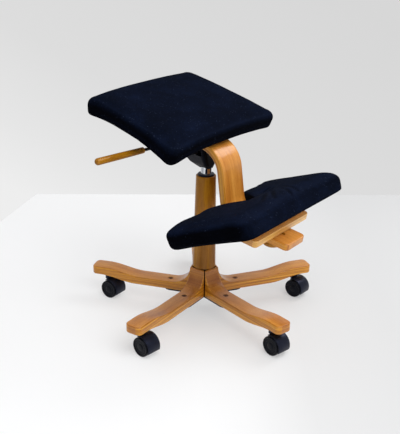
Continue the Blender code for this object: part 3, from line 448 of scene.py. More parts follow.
def wool_cloth():
    """Felted wool upholstery, navy near black: dull, fuzzy at the rim, with pale flecks of lint."""
    made, tree, shader = new_material("navy_wool")
    where = add(tree, "TexCoord", out="Object")
    # yarn of about 1 mm, drawn at 2 mm so that it shows
    yarn = add(tree, "TexVoronoi", Vector=where, Scale=1 / 0.002)
    felt = add(tree, "TexNoise", Vector=where, Scale=1 / 0.0035, Detail=4.0, Roughness=0.65)
    worn = add(tree, "TexNoise", Vector=where, Scale=1 / 0.070, Detail=3.0, Roughness=0.6)
    tone = add(tree, "Mix", {"data_type": "FLOAT"}, Factor=0.5, A=felt, B=worn)
    top = add(tree, "ValToRGB", stops=[(0.34, "#040710"), (0.50, "#060B19"), (0.68, "#0B1326")], Fac=tone)
    shaded_flank = add(tree, "ValToRGB", stops=[(0.34, "#010103"), (0.68, "#030409")], Fac=tone)
    # painted light: paler where the cover looks up, painted shade near black on the flanks, a painted highlight
    # along the ridges
    painted_light = add(tree, "Attribute", {"attribute_name": "painted_light"}, out="Fac")
    above = add(tree, "MapRange", Value=painted_light, From_Max=1.0)
    lit_and_shaded = blend(tree, above, shaded_flank, top)
    ridge = add(tree, "MapRange", Value=painted_light, From_Min=1.0, From_Max=2.0)
    body = blend(tree, ridge, lit_and_shaded, linear("#1A2238"))
    # lint flecks 1 to 2 mm across, in loose drifts
    lint = add(tree, "TexVoronoi", Vector=where, Scale=1 / 0.006, Randomness=1.0)
    spot = add(tree, "MapRange", Value=lint, From_Min=0.06, From_Max=0.16, To_Min=1.0, To_Max=0.0)
    some = add(tree, "TexNoise", Vector=where, Scale=1 / 0.012, Detail=2.0)
    few = add(tree, "MapRange", Value=some, From_Min=0.44, From_Max=0.64, To_Max=0.45)
    fleck = add(tree, "Math", {"operation": "MULTIPLY"}, _0=spot, _1=few)
    colour = blend(tree, fleck, body, linear("#5F6C8C"))
    height = add(tree, "Mix", {"data_type": "FLOAT"}, Factor=0.5, A=yarn, B=felt)
    bump = add(tree, "Bump", Height=height, Strength=0.5, Distance=0.0008)
    feed(tree, shader, Base_Color=colour, Normal=bump, Roughness=0.95, Specular_IOR_Level=0.02, Sheen_Weight=0.015,
         Sheen_Roughness=0.5, Sheen_Tint=linear("#7C8CB4"))
    return made


def plain(name, colour, worn, roughness, metallic=0.0, grit=0.0012, bump=0.08, tint="#FFFFFF", gleam=0.5):
    """A moulded, coated or plated surface: one colour with a faint cloud of wear and a fine grit."""
    made, tree, shader = new_material(name)
    where = add(tree, "TexCoord", out="Object")
    cloud = add(tree, "TexNoise", Vector=where, Scale=1 / 0.018, Detail=3.0)
    clouded = add(tree, "ValToRGB", stops=[(0.35, colour), (0.72, worn)], Fac=cloud)
    fine = add(tree, "TexNoise", Vector=where, Scale=1 / grit, Detail=2.0)
    gloss = add(tree, "MapRange", Value=cloud, To_Min=roughness - 0.05, To_Max=roughness + 0.08)
    pebbled = add(tree, "Bump", Height=fine, Strength=bump, Distance=0.0002)
    feed(tree, shader, Base_Color=clouded, Roughness=gloss, Normal=pebbled, Metallic=metallic,
         Specular_Tint=linear(tint), Specular_IOR_Level=gleam)
    return made


BEECH = beech("lacquered_beech_laminate", "#9E5C1A", "#C07A2B", "#DA9943")
# Turned from solid stock: the same lacquer over greener wood; its darker tone is painted shade, as these parts sit
# under the seat and tongue
TURNED = beech("lacquered_beech_solid", "#744606", "#925E0B", "#B67F1A", coat=0.3, gleam=0.12)
# The knee rest's bar: beech painted paler, a painted reflection of the bright room in its lacquer
SHEENED_BEECH = beech("lacquered_beech_painted_reflection", "#B0763A", "#CC9450", "#E2B070", ("#D09A48", "#E6AE58", "#F0C074"))
PLYWOOD = plywood()
WOOL = wool_cloth()
# Nylon, moulded: near black with a cool sheen
NYLON = plain("black_nylon", "#14151B", "#1B1D26", 0.34, tint="#A4B2EC", gleam=0.28)
# Wheels: a harder plastic with a duller face
WHEEL_PLASTIC = plain("black_polypropylene", "#040405", "#08080A", 0.38, tint="#B4BCD8", gleam=0.22)
# Powder coat on steel: black, slightly pebbled
POWDER = plain("black_powder_coat", "#06070A", "#0A0B10", 0.42, grit=0.0008, bump=0.15, tint="#7C88B0", gleam=0.25)
# Zinc plate, dulled
ZINC = plain("zinc_plate", "#6F6A60", "#8C877C", 0.42, metallic=1.0)
# Bolt heads, browned steel
BROWNED = plain("browned_steel", "#66442E", "#845C42", 0.5, metallic=0.8)
# Hard chrome, polished
CHROME = plain("hard_chrome", "#C9CCD0", "#DFE1E4", 0.10, metallic=1.0, bump=0.01)


# Pieces

SIDE_FROM = 0.3                 # how far a face looks sideways before it counts as a glued edge,
SIDE_RANGE = 0.6                # and how much further until it is one altogether


def clad(piece, material):
    """Gives a piece one material."""
    piece.data.materials.clear()
    piece.data.materials.append(material)


def dress(piece, name, body, material, nodes=(), angle=30):
    """Names and shades a finished piece, gives it its finish and hangs it on its body."""
    take(piece)
    piece.name = name
    piece.data.name = name
    clad(piece, material)
    bpy.ops.object.shade_smooth_by_angle(angle=radians(angle))
    clear_hands()
    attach(piece, body)
    if nodes:
        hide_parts(*nodes)
    return piece


def lay_grain(piece, along, offset=0.0):
    """Stores where each point lies in the timber: length, width, depth, and how much it is a glued edge."""
    mesh = piece.data
    places = [along(point.co, point.normal)[:3] for point in mesh.vertices]
    edges = [along(face.center, face.normal)[3] for face in mesh.polygons]
    mesh.attributes.new("grain", "FLOAT_VECTOR", "POINT")
    mesh.attributes.new("side", "FLOAT", "FACE")
    for number, point in enumerate(places):
        mesh.attributes["grain"].data[number].vector = Vector(point) + Vector((offset, offset, offset))
    for number, across in enumerate(edges):
        mesh.attributes["side"].data[number].value = min(1.0, max(0.0, (across - SIDE_FROM) / SIDE_RANGE))


def straight_grain(point, normal):
    """Timber along X, laminated in flat layers; its ends count less as glued edges."""
    return point.x, point.y, point.z, abs(normal.y) + abs(normal.x) * 0.6


def turned_grain(point, normal):
    """A turned piece along Z."""
    return point.z, point.x, point.y, 0.0


def arm_lift(reach, end):
    """Height that an arm has gained at a distance from the column, when its rise is over at an end."""
    share = min(1.0, max(0.0, 1 - (end - reach) / ARM_RISE_RUN))
    return ARM_RISE * share * share * (3 - 2 * share)


def arm_levels(reach):
    """Underside and top of an arm at a distance from the column."""
    return (ARM_TOP - ARM_THICK + arm_lift(reach, ARM_RISE_END),
            ARM_TOP + arm_lift(reach, ARM_RISE_END - ARM_RISE_LAG))


def arm_stations():
    """(reach, underside, top) along one arm: collar, flare, flat run, rise and tip."""
    low = ARM_TOP - ARM_THICK
    stations = [(ARM_INNER, low, COLLAR_TOP), (COLLAR_RADIUS, low, COLLAR_TOP)]
    for a in quarter(FLARE_STEPS)[1:]:
        out = COLLAR_HEIGHT * (1 - cos(a))
        stations.append((COLLAR_RADIUS + out, low, COLLAR_TOP - COLLAR_HEIGHT * sin(a)))
    run = ARM_RISE_RUN + ARM_RISE_LAG
    rises = [ARM_RISE_END - run + run * k / RISE_STEPS for k in range(RISE_STEPS + 1)]
    return stations + [(r, *arm_levels(r)) for r in rises + [ARM_REACH]]


def make_arm():
    """One arm along +X: a strip pulled through its stations, given its width, rounded, mitred and drilled."""
    stations = arm_stations()
    reach, low, high = stations[0]
    first_edge(Vector((reach, -ARM_WIDTH / 2, (low + high) / 2)), Vector((0, 0, high - low)))
    for (r0, l0, h0), (r1, l1, h1) in zip(stations, stations[1:]):
        pull((r1 - r0, 0, (l1 + h1 - l0 - h0) / 2))
        bpy.ops.transform.resize(value=(1, 1, (h1 - l1) / (h0 - l0)), center_override=(r1, 0, (l1 + h1) / 2))
    bpy.ops.mesh.select_all(action="SELECT")
    pull((0, ARM_WIDTH, 0))
    tidy_mesh()
    pick(lambda a, b: min(a.x, b.x) > ARM_REACH - MM and abs(a.y - b.y) <= MM, "EDGE")
    bpy.ops.mesh.bevel(offset=ARM_TIP_CORNER, segments=8, affect="EDGES")
    arm = done()
    soften(arm, ARM_EDGE)
    edit(arm)
    half = pi / ARM_COUNT
    for sign in (1, -1):
        bpy.ops.mesh.select_all(action="SELECT")
        out = Vector((-sin(half), sign * cos(half), 0))
        bpy.ops.mesh.bisect(plane_co=-out * ARM_MITRE_GAP / 2, plane_no=out, clear_outer=True, use_fill=True)
    tidy_mesh()
    arm = done()
    soften(arm, ARM_MITRE_EDGE, segments=2)
    sink = turned([(BOLT_SINK_RADIUS, ARM_TOP - BOLT_SINK), (BOLT_SINK_RADIUS, COLLAR_TOP)], 40)
    place(sink, shift((BOLT_CIRCLE, 0, 0)))
    carve(arm, sink)
    lay_grain(arm, straight_grain)
    return arm


def add_arms():
    """Five arms round the column, each with its own stretch of grain."""
    master = make_arm()
    for number in range(1, ARM_COUNT + 1):
        arm = copied(master)
        for point in arm.data.attributes["grain"].data:
            point.vector = Vector(point.vector) + GRAIN_STEP * number
        turn = ARM_HEADING + 2 * pi * (number - 1) / ARM_COUNT
        place(arm, shift(COLUMN) @ Matrix.Rotation(turn, 4, "Z"))
        dress(arm, "arm_%d" % number, "base", BEECH, ["base_arm_%d" % number])
    bpy.data.objects.remove(master)


def add_column():
    """Tapered sleeve, guide bush and bright spring tube."""
    low, high = corners("column_sleeve")
    sleeve = turned([(SLEEVE_BORE, low.z), (SLEEVE_FOOT_RADIUS - SLEEVE_FOOT_EDGE, low.z),
                     (SLEEVE_FOOT_RADIUS, low.z + SLEEVE_FOOT_EDGE),
                     *round_over(SLEEVE_TOP_RADIUS, high.z, SLEEVE_TOP_EDGE), (SLEEVE_BORE, high.z)], 72, ring=True)
    lay_grain(sleeve, turned_grain)
    place(sleeve, shift(COLUMN))
    dress(sleeve, "sleeve", "base", TURNED, ["column_sleeve"])
    low, high = corners("guide_bush")
    flange = high.z - BUSH_FLANGE
    bush = turned([(BUSH_BORE, low.z), (BUSH_RADIUS, low.z), (BUSH_RADIUS, flange), (BUSH_FLANGE_RADIUS, flange),
                   *round_over(BUSH_FLANGE_RADIUS, high.z, BUSH_EDGE), (BUSH_BORE, high.z)], ring=True)
    place(bush, shift(COLUMN))
    dress(bush, "bush", "base", NYLON, ["guide_bush"])
    low, high = corners("gas_spring_tube")
    tube = turned([(ROD_BORE, low.z), (SPRING_RADIUS - SPRING_EDGE, low.z), (SPRING_RADIUS, low.z + SPRING_EDGE),
                   (SPRING_RADIUS, high.z - SPRING_TAPER), (SPRING_TOP_RADIUS, high.z),
                   (BUTTON_BORE, high.z), (BUTTON_BORE, high.z - BUTTON_WELL)])
    place(tube, shift(COLUMN))
    dress(tube, "spring_tube", "upper", CHROME, ["gas_spring_tube"])


def wheel_profile():
    """One wheel, outer face up: inner side, tread with a seam, rim, ring, dished disc and cap."""
    r, w = WHEEL_RADIUS, WHEEL_WIDTH
    inside = [(WHEEL_BORE, 0.4 * MM), (r - 1.2 * MM, 0.4 * MM), (r - 0.3 * MM, 1.2 * MM), (r, 2.2 * MM)]
    # millimetres in from the tread, and down from the outer face
    outside = [(0, 4.6), (0.5, 4.3), (0.5, 3.9), (0.1, 3.6), (0.2, 2.2), (0.9, 0.8), (2.1, 0.1), (4.6, 0.1),
               (5.2, 0.6), (5.8, 1.9), (9.2, 2.0), (9.6, 1.5), (10.8, 1.5), (11.2, 2.0)]
    # millimetres out from the axle, and down from the outer face
    cap = [(9.6, 2.0), (8.8, 1.2), (7.2, 0.7), (3.0, 0.4), (0.4, 0.35)]
    return (inside + [(r - inward * MM, w - down * MM) for inward, down in outside]
            + [(out * MM, w - down * MM) for out, down in cap])


def spun(inner, outer, half, start, end, steps):
    """A rectangle between two radii, spun round Y from one angle to another."""
    out = Vector((cos(start), 0, sin(start)))
    first_edge(out * inner, Vector((0, 2 * half, 0)))
    pull(out * (outer - inner))
    bpy.ops.mesh.select_all(action="SELECT")
    bpy.ops.mesh.delete(type="ONLY_FACE")
    bpy.ops.mesh.select_all(action="SELECT")
    bpy.ops.mesh.spin(steps=steps, angle=end - start, center=(0, 0, 0), axis=(0, 1, 0))
    tidy_mesh()
    return done()


def make_hood():
    """Caster cover round its stem at the origin: spun fender, middle plate, stem boss, and their bores."""
    half = WEB_THICK / 2 + WHEEL_SIDE_GAP + WHEEL_WIDTH - FENDER_SET_IN
    sweep = (FENDER_TAIL, pi - FENDER_FRONT, FENDER_STEPS)
    hood = spun(FENDER_INNER, FENDER_INNER + FENDER_THICK, half, *sweep)
    soften(hood, FENDER_EDGE, segments=3)
    carve(hood, spun(WEB_FOOT / 2, FENDER_INNER + FENDER_THICK / 2, WEB_THICK / 2, *sweep), "UNION")
    stand = Matrix.Rotation(pi / 2, 4, "X")
    foot = turned([(WEB_FOOT, -WEB_THICK / 2), (WEB_FOOT, WEB_THICK / 2)], 40)
    place(foot, stand)
    carve(hood, foot, "UNION")
    axle_at = shift((CASTER_TRAIL, 0, WHEEL_RADIUS))
    place(hood, axle_at)
    boss_foot = WHEEL_RADIUS + FENDER_INNER - HOOD_BOSS_ROOT
    carve(hood, turned([(HOOD_BOSS, boss_foot), *round_over(HOOD_BOSS, HOOD_TOP, HOOD_BOSS_EDGE)], 40), "UNION")
    carve(hood, turned([(STEM_BORE, HOOD_TOP - STEM_IN_HOOD), (STEM_BORE, HOOD_TOP + MM)], 24))
    axle = turned([(AXLE_BORE, -half), (AXLE_BORE, half)], 24)
    place(axle, axle_at @ stand)
    carve(hood, axle)
    return hood


def add_casters():
    """Ten wheels on their axles and five covers, turned as their solids are."""
    master = turned(wheel_profile(), 72)
    half_web = WEB_THICK / 2 + WHEEL_SIDE_GAP
    for number in range(1, ARM_COUNT + 1):
        for side, sign in (("left", 1), ("right", -1)):
            node = "caster_%d_wheel_%s" % (number, side)
            spin = JOINTS[node + "_spin"]
            out = Vector(spin["axis"]) * sign
            wheel = copied(master)
            place(wheel, shift(Vector(spin["pos_m"]) + out * half_web) @ lean(out))
            dress(wheel, "wheel_%d_%s" % (number, side), node, WHEEL_PLASTIC, [node])
    bpy.data.objects.remove(master)
    cover = make_hood()
    for number in range(1, ARM_COUNT + 1):
        stem = Vector(JOINTS["caster_%d_swivel" % number]["pos_m"])
        trail = middle("caster_%d_axle" % number) - stem
        hood = copied(cover)
        turn = Matrix.Rotation(atan2(trail.y, trail.x), 4, "Z")
        place(hood, shift((stem.x, stem.y, 0)) @ turn)
        dress(hood, "hood_%d" % number, "caster_%d" % number, NYLON, ["caster_%d_hood" % number])
    bpy.data.objects.remove(cover)


def strap_line():
    """Corners of the strap's middle line, from under the seat to the tongue's tip."""
    foot = SEAT_FLOOR + SEAT_UP * STRAP_LEVEL - SEAT_SLOPE * SEAT_BACK
    rear = foot + SEAT_SLOPE * STRAP_REAR
    top = foot - SEAT_SLOPE * STRAP_REACH
    low = top + STRAP_DROP * Vector((0, -sin(STRAP_LEAN), -cos(STRAP_LEAN)))
    tip = low + TONGUE_LENGTH * Vector((0, -cos(TONGUE_SLOPE), -sin(TONGUE_SLOPE)))
    return [rear, top, low, tip]


def bent_path(line, radii, steps):
    """Points along a line of corners with an arc at each inner corner."""
    path = [line[0]]
    for before, here, after, radius in zip(line, line[1:], line[2:], radii):
        back = (before - here).normalized()
        ahead = (after - here).normalized()
        half = back.angle(ahead) / 2
        centre = here + (back + ahead).normalized() * radius / sin(half)
        start = (here + back * radius / tan(half) - centre).normalized()
        end = (here + ahead * radius / tan(half) - centre).normalized()
        path += [centre + start.slerp(end, k / steps) * radius for k in range(steps + 1)]
    return path + [line[-1]]


def strap_path():
    """Points along the strap's middle line, with both bends."""
    return bent_path(strap_line(), (STRAP_TOP_BEND, STRAP_LOW_BEND), STRAP_BEND_STEPS)


def add_strap():
    """A flat strip pulled along the bent line, its ends rounded, made thick, softened and slotted."""
    path = strap_path()
    first_edge(path[0], Vector((STRAP_WIDTH, 0, 0)))
    for here, after in zip(path, path[1:]):
        pull(after - here)
    ends = (path[0], path[-1])
    pick(lambda p: any(abs(p.y - e.y) < MM and abs(p.z - e.z) < MM for e in ends))
    bpy.ops.mesh.bevel(offset=STRAP_END_CORNER, segments=8, affect="VERTICES")
    strap = done()
    apply_step(strap, "SOLIDIFY", thickness=STRAP_THICK, offset=0, use_even_offset=True)
    edit(strap)
    tidy_mesh()
    strap = done()
    soften(strap, STRAP_EDGE)
    front = CLAMP_AT - CARRIER_TRAVEL - SLOT_HALF_WIDTH
    length = CLAMP_AT - front + SLOT_HALF_WIDTH
    slot = cube((0, front + length / 2, -STRAP_THICK / 2), (2 * SLOT_HALF_WIDTH, length, 3 * STRAP_THICK))
    # just under half its width, so that the two arcs of an end stay apart
    round_corners(slot, SLOT_HALF_WIDTH * 0.99)
    place(slot, knee_frame())
    carve(strap, slot)
    lengths = [0.0]
    for here, after in zip(path, path[1:]):
        lengths.append(lengths[-1] + (after - here).length)

    def along_strap(point, normal):
        """Length along the bent line, width, and depth from its middle."""
        flat = Vector((0, point.y, point.z))
        best = (1e9, 0, 0)
        for k, (here, after) in enumerate(zip(path, path[1:])):
            a, b = Vector((0, here.y, here.z)), Vector((0, after.y, after.z))
            share = min(1, max(0, (flat - a).dot(b - a) / (b - a).length_squared))
            gap = (flat - a.lerp(b, share)).length
            if gap < best[0]:
                turn = (b - a).normalized()
                depth = (flat - a).dot(Vector((0, turn.z, -turn.y)))
                best = (gap, lengths[k] + share * (b - a).length, depth)
        return best[1], point.x, best[2], abs(normal.x)

    lay_grain(strap, along_strap, offset=0.5)
    dress(strap, "strap", "upper", BEECH, ["knee_strap"])


def knee_frame():
    """Frame of the tongue: origin on its top at the tip, Y back along it."""
    tip = strap_line()[-1]
    turn = Matrix.Rotation(TONGUE_SLOPE, 4, "X")
    return shift(tip + turn @ Vector((0, 0, STRAP_THICK / 2))) @ turn


def make_wedge(sign):
    """Bevelled seat on the cross bar that carries the knee board."""
    front, rear = BAR_REAR - WEDGE_DEPTH, BAR_REAR - STRAP_EDGE
    low = BAR_TOP - STRAP_EDGE
    high = [PAD_LEVEL + (PAD_MIDDLE - y) * tan(PAD_ANGLE) - GAP / cos(PAD_ANGLE) for y in (front, rear)]
    wedge = cube((sign * sum(WEDGE_SPAN) / 2, (front + rear) / 2, (low + high[1]) / 2),
                 (WEDGE_SPAN[1] - WEDGE_SPAN[0], rear - front, high[1] - low))
    edit(wedge)
    pick(lambda p: p.y < (front + rear) / 2 and p.z > (low + high[1]) / 2)
    bpy.ops.transform.translate(value=(0, 0, high[0] - high[1]))
    return done()


def add_knee_rest():
    """Cross bar with its two wedges on the tongue, and the clamp knob below."""
    knee = knee_frame()
    bar = cube((0, CLAMP_AT, GAP + BAR_THICK / 2), (2 * BAR_HALF_LENGTH, BAR_DEPTH, BAR_THICK))
    round_corners(bar, BAR_CORNER, segments=6)
    soften(bar, BAR_EDGE)
    for sign in (-1, 1):
        carve(bar, make_wedge(sign), "UNION")
    hole = turned([(BOLT_BORE, -BAR_TOP), (BOLT_BORE, 2 * BAR_TOP)], 32)
    place(hole, shift((0, CLAMP_AT, 0)))
    carve(bar, hole)
    lay_grain(bar, straight_grain, offset=0.9)
    place(bar, knee)
    dress(bar, "cross_bar", "knee_carrier", SHEENED_BEECH, ["knee_cross_bar"])
    foot = [(KNOB_RADIUS - KNOB_BELLY * (1 - cos(a)), KNOB_BELLY * (1 - sin(a)) - KNOB_HEIGHT) for a in quarter(8)]
    knob = turned([(BOLT_BORE, -KNOB_HOLE), (BOLT_BORE, 0), (KNOB_NECK - KNOB_NECK_EDGE, 0),
                   (KNOB_NECK, -KNOB_NECK_EDGE), (KNOB_RADIUS - KNOB_WAIST_IN, -KNOB_WAIST), *foot])
    lay_grain(knob, turned_grain, offset=1.3)
    place(knob, knee @ shift((0, CLAMP_AT, -STRAP_THICK - GAP)))
    dress(knob, "knob", "knee_carrier", TURNED, ["clamp_knob"])


def add_lever():
    """Turned handle on the lever's rod, drilled for it."""
    low, high = corners("lever_handle")
    slope, length, belly, end = HANDLE_SLOPE, HANDLE_LENGTH, HANDLE_BELLY, HANDLE_END
    tip = [(belly * cos(a), length - HANDLE_TIP * (1 - sin(a))) for a in quarter(8)[:-1]]
    body = [(end * cos(a), end / 4 * (1 - sin(a))) for a in (pi / 4, pi / 8, 0)]
    bore = [(HANDLE_BORE, HANDLE_HOLE), (HANDLE_BORE, 0)]
    handle = turned([*bore, (end / 2, 0), *body, (belly, length / 2), *tip], 48)
    lay_grain(handle, turned_grain, offset=1.7)
    aim = Vector((-cos(slope), 0, sin(slope)))
    inward, up = HANDLE_START
    start = Vector((high.x - inward, (low.y + high.y) / 2, low.z + up * cos(slope)))
    place(handle, shift(start) @ lean(aim))
    dress(handle, "handle", "release_lever", TURNED, ["lever_handle"])


# Cushions

SEAT = {"front": 438 * MM, "rear": 404 * MM, "depth": 304 * MM, "thick": 47 * MM, "crown": 5 * MM, "lift": 2 * MM,
        "corner": 25 * MM, "draw_in": 4 * MM, "edge": 16 * MM, "droop": 12 * MM, "tuck": 6 * MM, "arch": 8 * MM,
        "front_share": 1.0, "nose": 0.0, "turn_up": 0.0}
PAD = {"front": 444 * MM, "rear": 494 * MM, "depth": 236 * MM, "thick": 54 * MM, "crown": 4 * MM, "lift": 0.0,
       "corner": 32 * MM, "draw_in": 4 * MM, "edge": 15 * MM, "droop": 10 * MM, "tuck": 5 * MM, "arch": 4 * MM,
       "front_share": 0.0, "nose": 18 * MM, "turn_up": 9 * MM}
SEAT_BOARD_HALF = 138 * MM
SEAT_BOARD_DEPTH = 95.5 * MM
SEAT_BOARD_CORNER = 20 * MM
PAD_BOARD_HALF = 170 * MM
PAD_BOARD_FRONT = 85 * MM
PAD_BOARD_BACK = 10 * MM
BOARD_CLEAR = 0.5 * MM
NOTCH_APEX = 16 * MM
NOTCH_APEX_HALF = 10 * MM
NOTCH_HALF = 76 * MM            # about its half width at the pad's rear edge
VOXEL = 5 * MM
SWELL = 2.5 * MM                # how much the filling lifts the cover
SWELL_PRESSURE = 4
SWELL_FRAMES = 20
UNDERSIDE = -0.7                # what looks down further than this is held
TURN_UP_FROM = (0.7, 0.5)       # shares of the half width and depth where a corner's underside starts to turn up
PAD_HANG_FROM = 0.7             # share of the half width where the pad's ends start to hang
NOSE_FROM = 0.55                # share of the half depth where the top starts to fall to the front
NOSE_ENDS = 0.4                 # how much less it falls at the ends
# Creases in the knee cover, by the notch and over the front, in mm: from, to, depth
CREASES = [((8, 8), (36, -16), 4.6), ((20, 14), (60, -4), 4.4), ((-24, 14), (-54, -6), 3.0),
           ((30, 22), (72, 12), 3.4), ((34, -22), (-44, -78), 3.2), ((46, -44), (2, -96), 2.8),
           ((8, -22), (-86, -70), 2.6), ((66, -30), (36, -92), 2.2)]
CREASE_WIDTH = 5.5 * MM
CREASE_SHADE = 300              # change of painted shade per metre of depth
FULL_LIGHT_UP = 0.7                   # what looks up further than this gets the full painted light
RIDGE_UP = 0.84                 # how far a ridge looks up, and how far from that it still counts
RIDGE_SPREAD = 0.14
# how much painted highlight the ridges get
RIDGE_HIGHLIGHT = 0.15
DRAWN_DOWN = 6 * MM             # the cover is drawn down where the strap passes through it
DRAWN_WIDTH = 30 * MM


def slab(size):
    """A block with rounded plan corners and rounded long edges, its underside at height 0."""
    block = cube((0, 0, size["thick"] / 2), (size["rear"], size["depth"], size["thick"]))
    edit(block)
    pick(lambda p: p.y < 0)
    bpy.ops.transform.resize(value=(size["front"] / size["rear"], 1, 1), center_override=(0, 0, 0))
    done()
    round_corners(block, size["corner"])
    soften(block, size["edge"], segments=6, angle=60)
    return block


def crease_depth(spot, creases, width):
    """How far the cover sinks at a spot into creases of a width."""
    sunk = 0.0
    for start, end, depth in creases:
        a, b = Vector(start) * MM, Vector(end) * MM
        share = min(1, max(0, (spot - a).dot(b - a) / (b - a).length_squared))
        near = (spot - a.lerp(b, share)).length / width
        # shallower towards both ends
        sunk += depth * MM * exp(-near * near) * sin(pi * (0.15 + 0.7 * share))
    return sunk


def seat_hang(u, v, w):
    """Share by which the seat's corners hang: most on the lever's side, and at the rear."""
    return min(1, abs(u * v)) ** 3 * (1 - 0.35 * u + 0.15 * v)


def pad_hang(u, v, w):
    """Share by which the pad's ends hang: the top, and at the rear the underside as well."""
    return max(0, (abs(u) - PAD_HANG_FROM) / (1 - PAD_HANG_FROM)) ** 1.5 * max(w, max(0, v) ** 4)


def fill(block, size, hang, creases=()):
    """Remeshes a block, shapes it, swells it as a stuffed cover, creases it, and smooths it once."""
    take(block)
    block.data.remesh_voxel_size = VOXEL
    bpy.ops.object.voxel_remesh()
    half_x, half_y = max(size["front"], size["rear"]) / 2, size["depth"] / 2
    across, along = TURN_UP_FROM
    for point in block.data.vertices:
        p = point.co
        # u across and v back, from -1 to 1, and w up from the underside
        u, v, w = p.x / half_x, p.y / half_y, min(1, max(0, p.z / size["thick"]))
        under = size["tuck"] * (1 - w) ** 2
        off_ends, off_sides, off_corners = max(0, 1 - u * u), max(0, 1 - v * v), max(0, 1 - (u * v) ** 2)
        p.x -= u * (size["draw_in"] * off_sides + under)
        p.y -= v * (size["draw_in"] * off_ends + under * (1 if v > 0 else size["front_share"]))
        p.z += w * (size["crown"] * off_ends * off_sides + size["lift"] * off_corners)
        p.z += (1 - w) * size["arch"] * max(u ** 6, v ** 6 * size["front_share"]) * off_corners
        corner = max(0, abs(u) - across) * max(0, v - along) / ((1 - across) * (1 - along))
        p.z += (1 - w) * size["turn_up"] * corner ** 2
        fall = w * (1 - NOSE_ENDS * u ** 4) * max(0, (-v - NOSE_FROM) / (1 - NOSE_FROM)) ** 2
        p.z -= size["droop"] * hang(u, v, w) + size["nose"] * fall
    swell(block)
    for point in block.data.vertices:
        if creases and point.co.z > size["thick"] / 2:
            beside = max(0, abs(point.co.x) - STRAP_WIDTH / 2)
            off = Vector((beside, point.co.y - NOTCH_APEX)).length / DRAWN_WIDTH
            point.co.z -= DRAWN_DOWN * exp(-off * off)
            point.co.z -= crease_depth(point.co.xy, creases, CREASE_WIDTH)
    apply_step(block, "SUBSURF", levels=1, render_levels=1)
    return block


def swell(block):
    """Cloth with inner pressure, held at its underside; no point moves further than the cap."""
    rest = [p.co.copy() for p in block.data.vertices]
    low = [p.normal.z < UNDERSIDE for p in block.data.vertices]
    held = block.vertex_groups.new(name="held")
    held.add([p.index for p in block.data.vertices if low[p.index]], 1.0, "REPLACE")
    cloth = block.modifiers.new("cloth", "CLOTH")
    cloth.settings.vertex_group_mass = "held"
    cloth.settings.use_pressure = True
    cloth.settings.uniform_pressure_force = SWELL_PRESSURE
    cloth.settings.effector_weights.gravity = 0
    cloth.settings.quality = 5
    cloth.point_cache.frame_end = SWELL_FRAMES
    scene = bpy.context.scene
    for number in range(1, SWELL_FRAMES + 1):
        scene.frame_set(number)
    take(block)
    bpy.ops.object.modifier_apply(modifier=cloth.name)
    scene.frame_set(1)
    for point, was, under in zip(block.data.vertices, rest, low):
        step = point.co - was
        if step.length > SWELL:
            step = step.normalized() * SWELL
        if under:
            step.z = 0
        point.co = was + step
    block.vertex_groups.clear()


def paint_cover_light(cushion, shaded_flank, front=0.0, creases=()):
    """Stores how much painted light each point of a cover gets: by how far it looks up or, for its share, forward;
    with a painted highlight on ridges and painted shade in creases.
    """
    cushion.data.attributes.new("painted_light", "FLOAT", "POINT")
    for point, row in zip(cushion.data.vertices, cushion.data.attributes["painted_light"].data):
        up = max(point.normal.z, -front * point.normal.y)
        ridge = max(0.0, 1 - abs(up - RIDGE_UP) / RIDGE_SPREAD)
        row.value = min(1.0, max(0.0, (up - shaded_flank) / (FULL_LIGHT_UP - shaded_flank))) + RIDGE_HIGHLIGHT * ridge
        if creases and up > 0:
            # painted shade in a crease, painted light on its shoulders
            spot = point.co.xy
            wide = crease_depth(spot, creases, 2 * CREASE_WIDTH)
            row.value += CREASE_SHADE * (wide * 0.5 - crease_depth(spot, creases, CREASE_WIDTH))


def board_room(half, front, rear, corner):
    """The recess that a board fills in a cushion's underside, as a tool."""
    room = cube((0, (front + rear) / 2, BOARD_CLEAR - 2 * BOARD_THICK),
                (2 * (half + BOARD_CLEAR), rear - front + 2 * BOARD_CLEAR, 6 * BOARD_THICK))
    if corner:
        round_corners(room, corner)
    return room


def add_seat():
    """Seat cushion over its board, its corners hanging."""
    cushion = fill(slab(SEAT), SEAT, seat_hang)
    carve(cushion, board_room(SEAT_BOARD_HALF, -SEAT_BOARD_DEPTH, SEAT_BOARD_DEPTH, SEAT_BOARD_CORNER))
    paint_cover_light(cushion, shaded_flank=-0.05)
    place(cushion, shift(SEAT_FLOOR) @ SEAT_TURN)
    dress(cushion, "seat_upholstery", "upper", WOOL, ["seat_cushion"], angle=80)


def strap_room(home):
    """The space round and behind the strap, as a tool in the frame of the knee pad."""
    path = strap_path()
    steps = [(b - a).normalized() for a, b in zip(path, path[1:])]
    front = [p + Vector((0, d.z, -d.y)) * (STRAP_THICK / 2 + STRAP_CLEAR) for p, d in zip(path, steps)]
    front = front[STRAP_BEND_STEPS + 2:]    # from below the upper bend
    first_edge(front[0], Vector((STRAP_WIDTH + 2 * STRAP_CLEAR, 0, 0)))
    for here, after in zip(front, front[1:]):
        pull(after - here)
    bpy.ops.mesh.select_all(action="SELECT")
    pull(STRAP_ROOM)
    tidy_mesh()
    room = done()
    place(room, home.inverted())
    return room


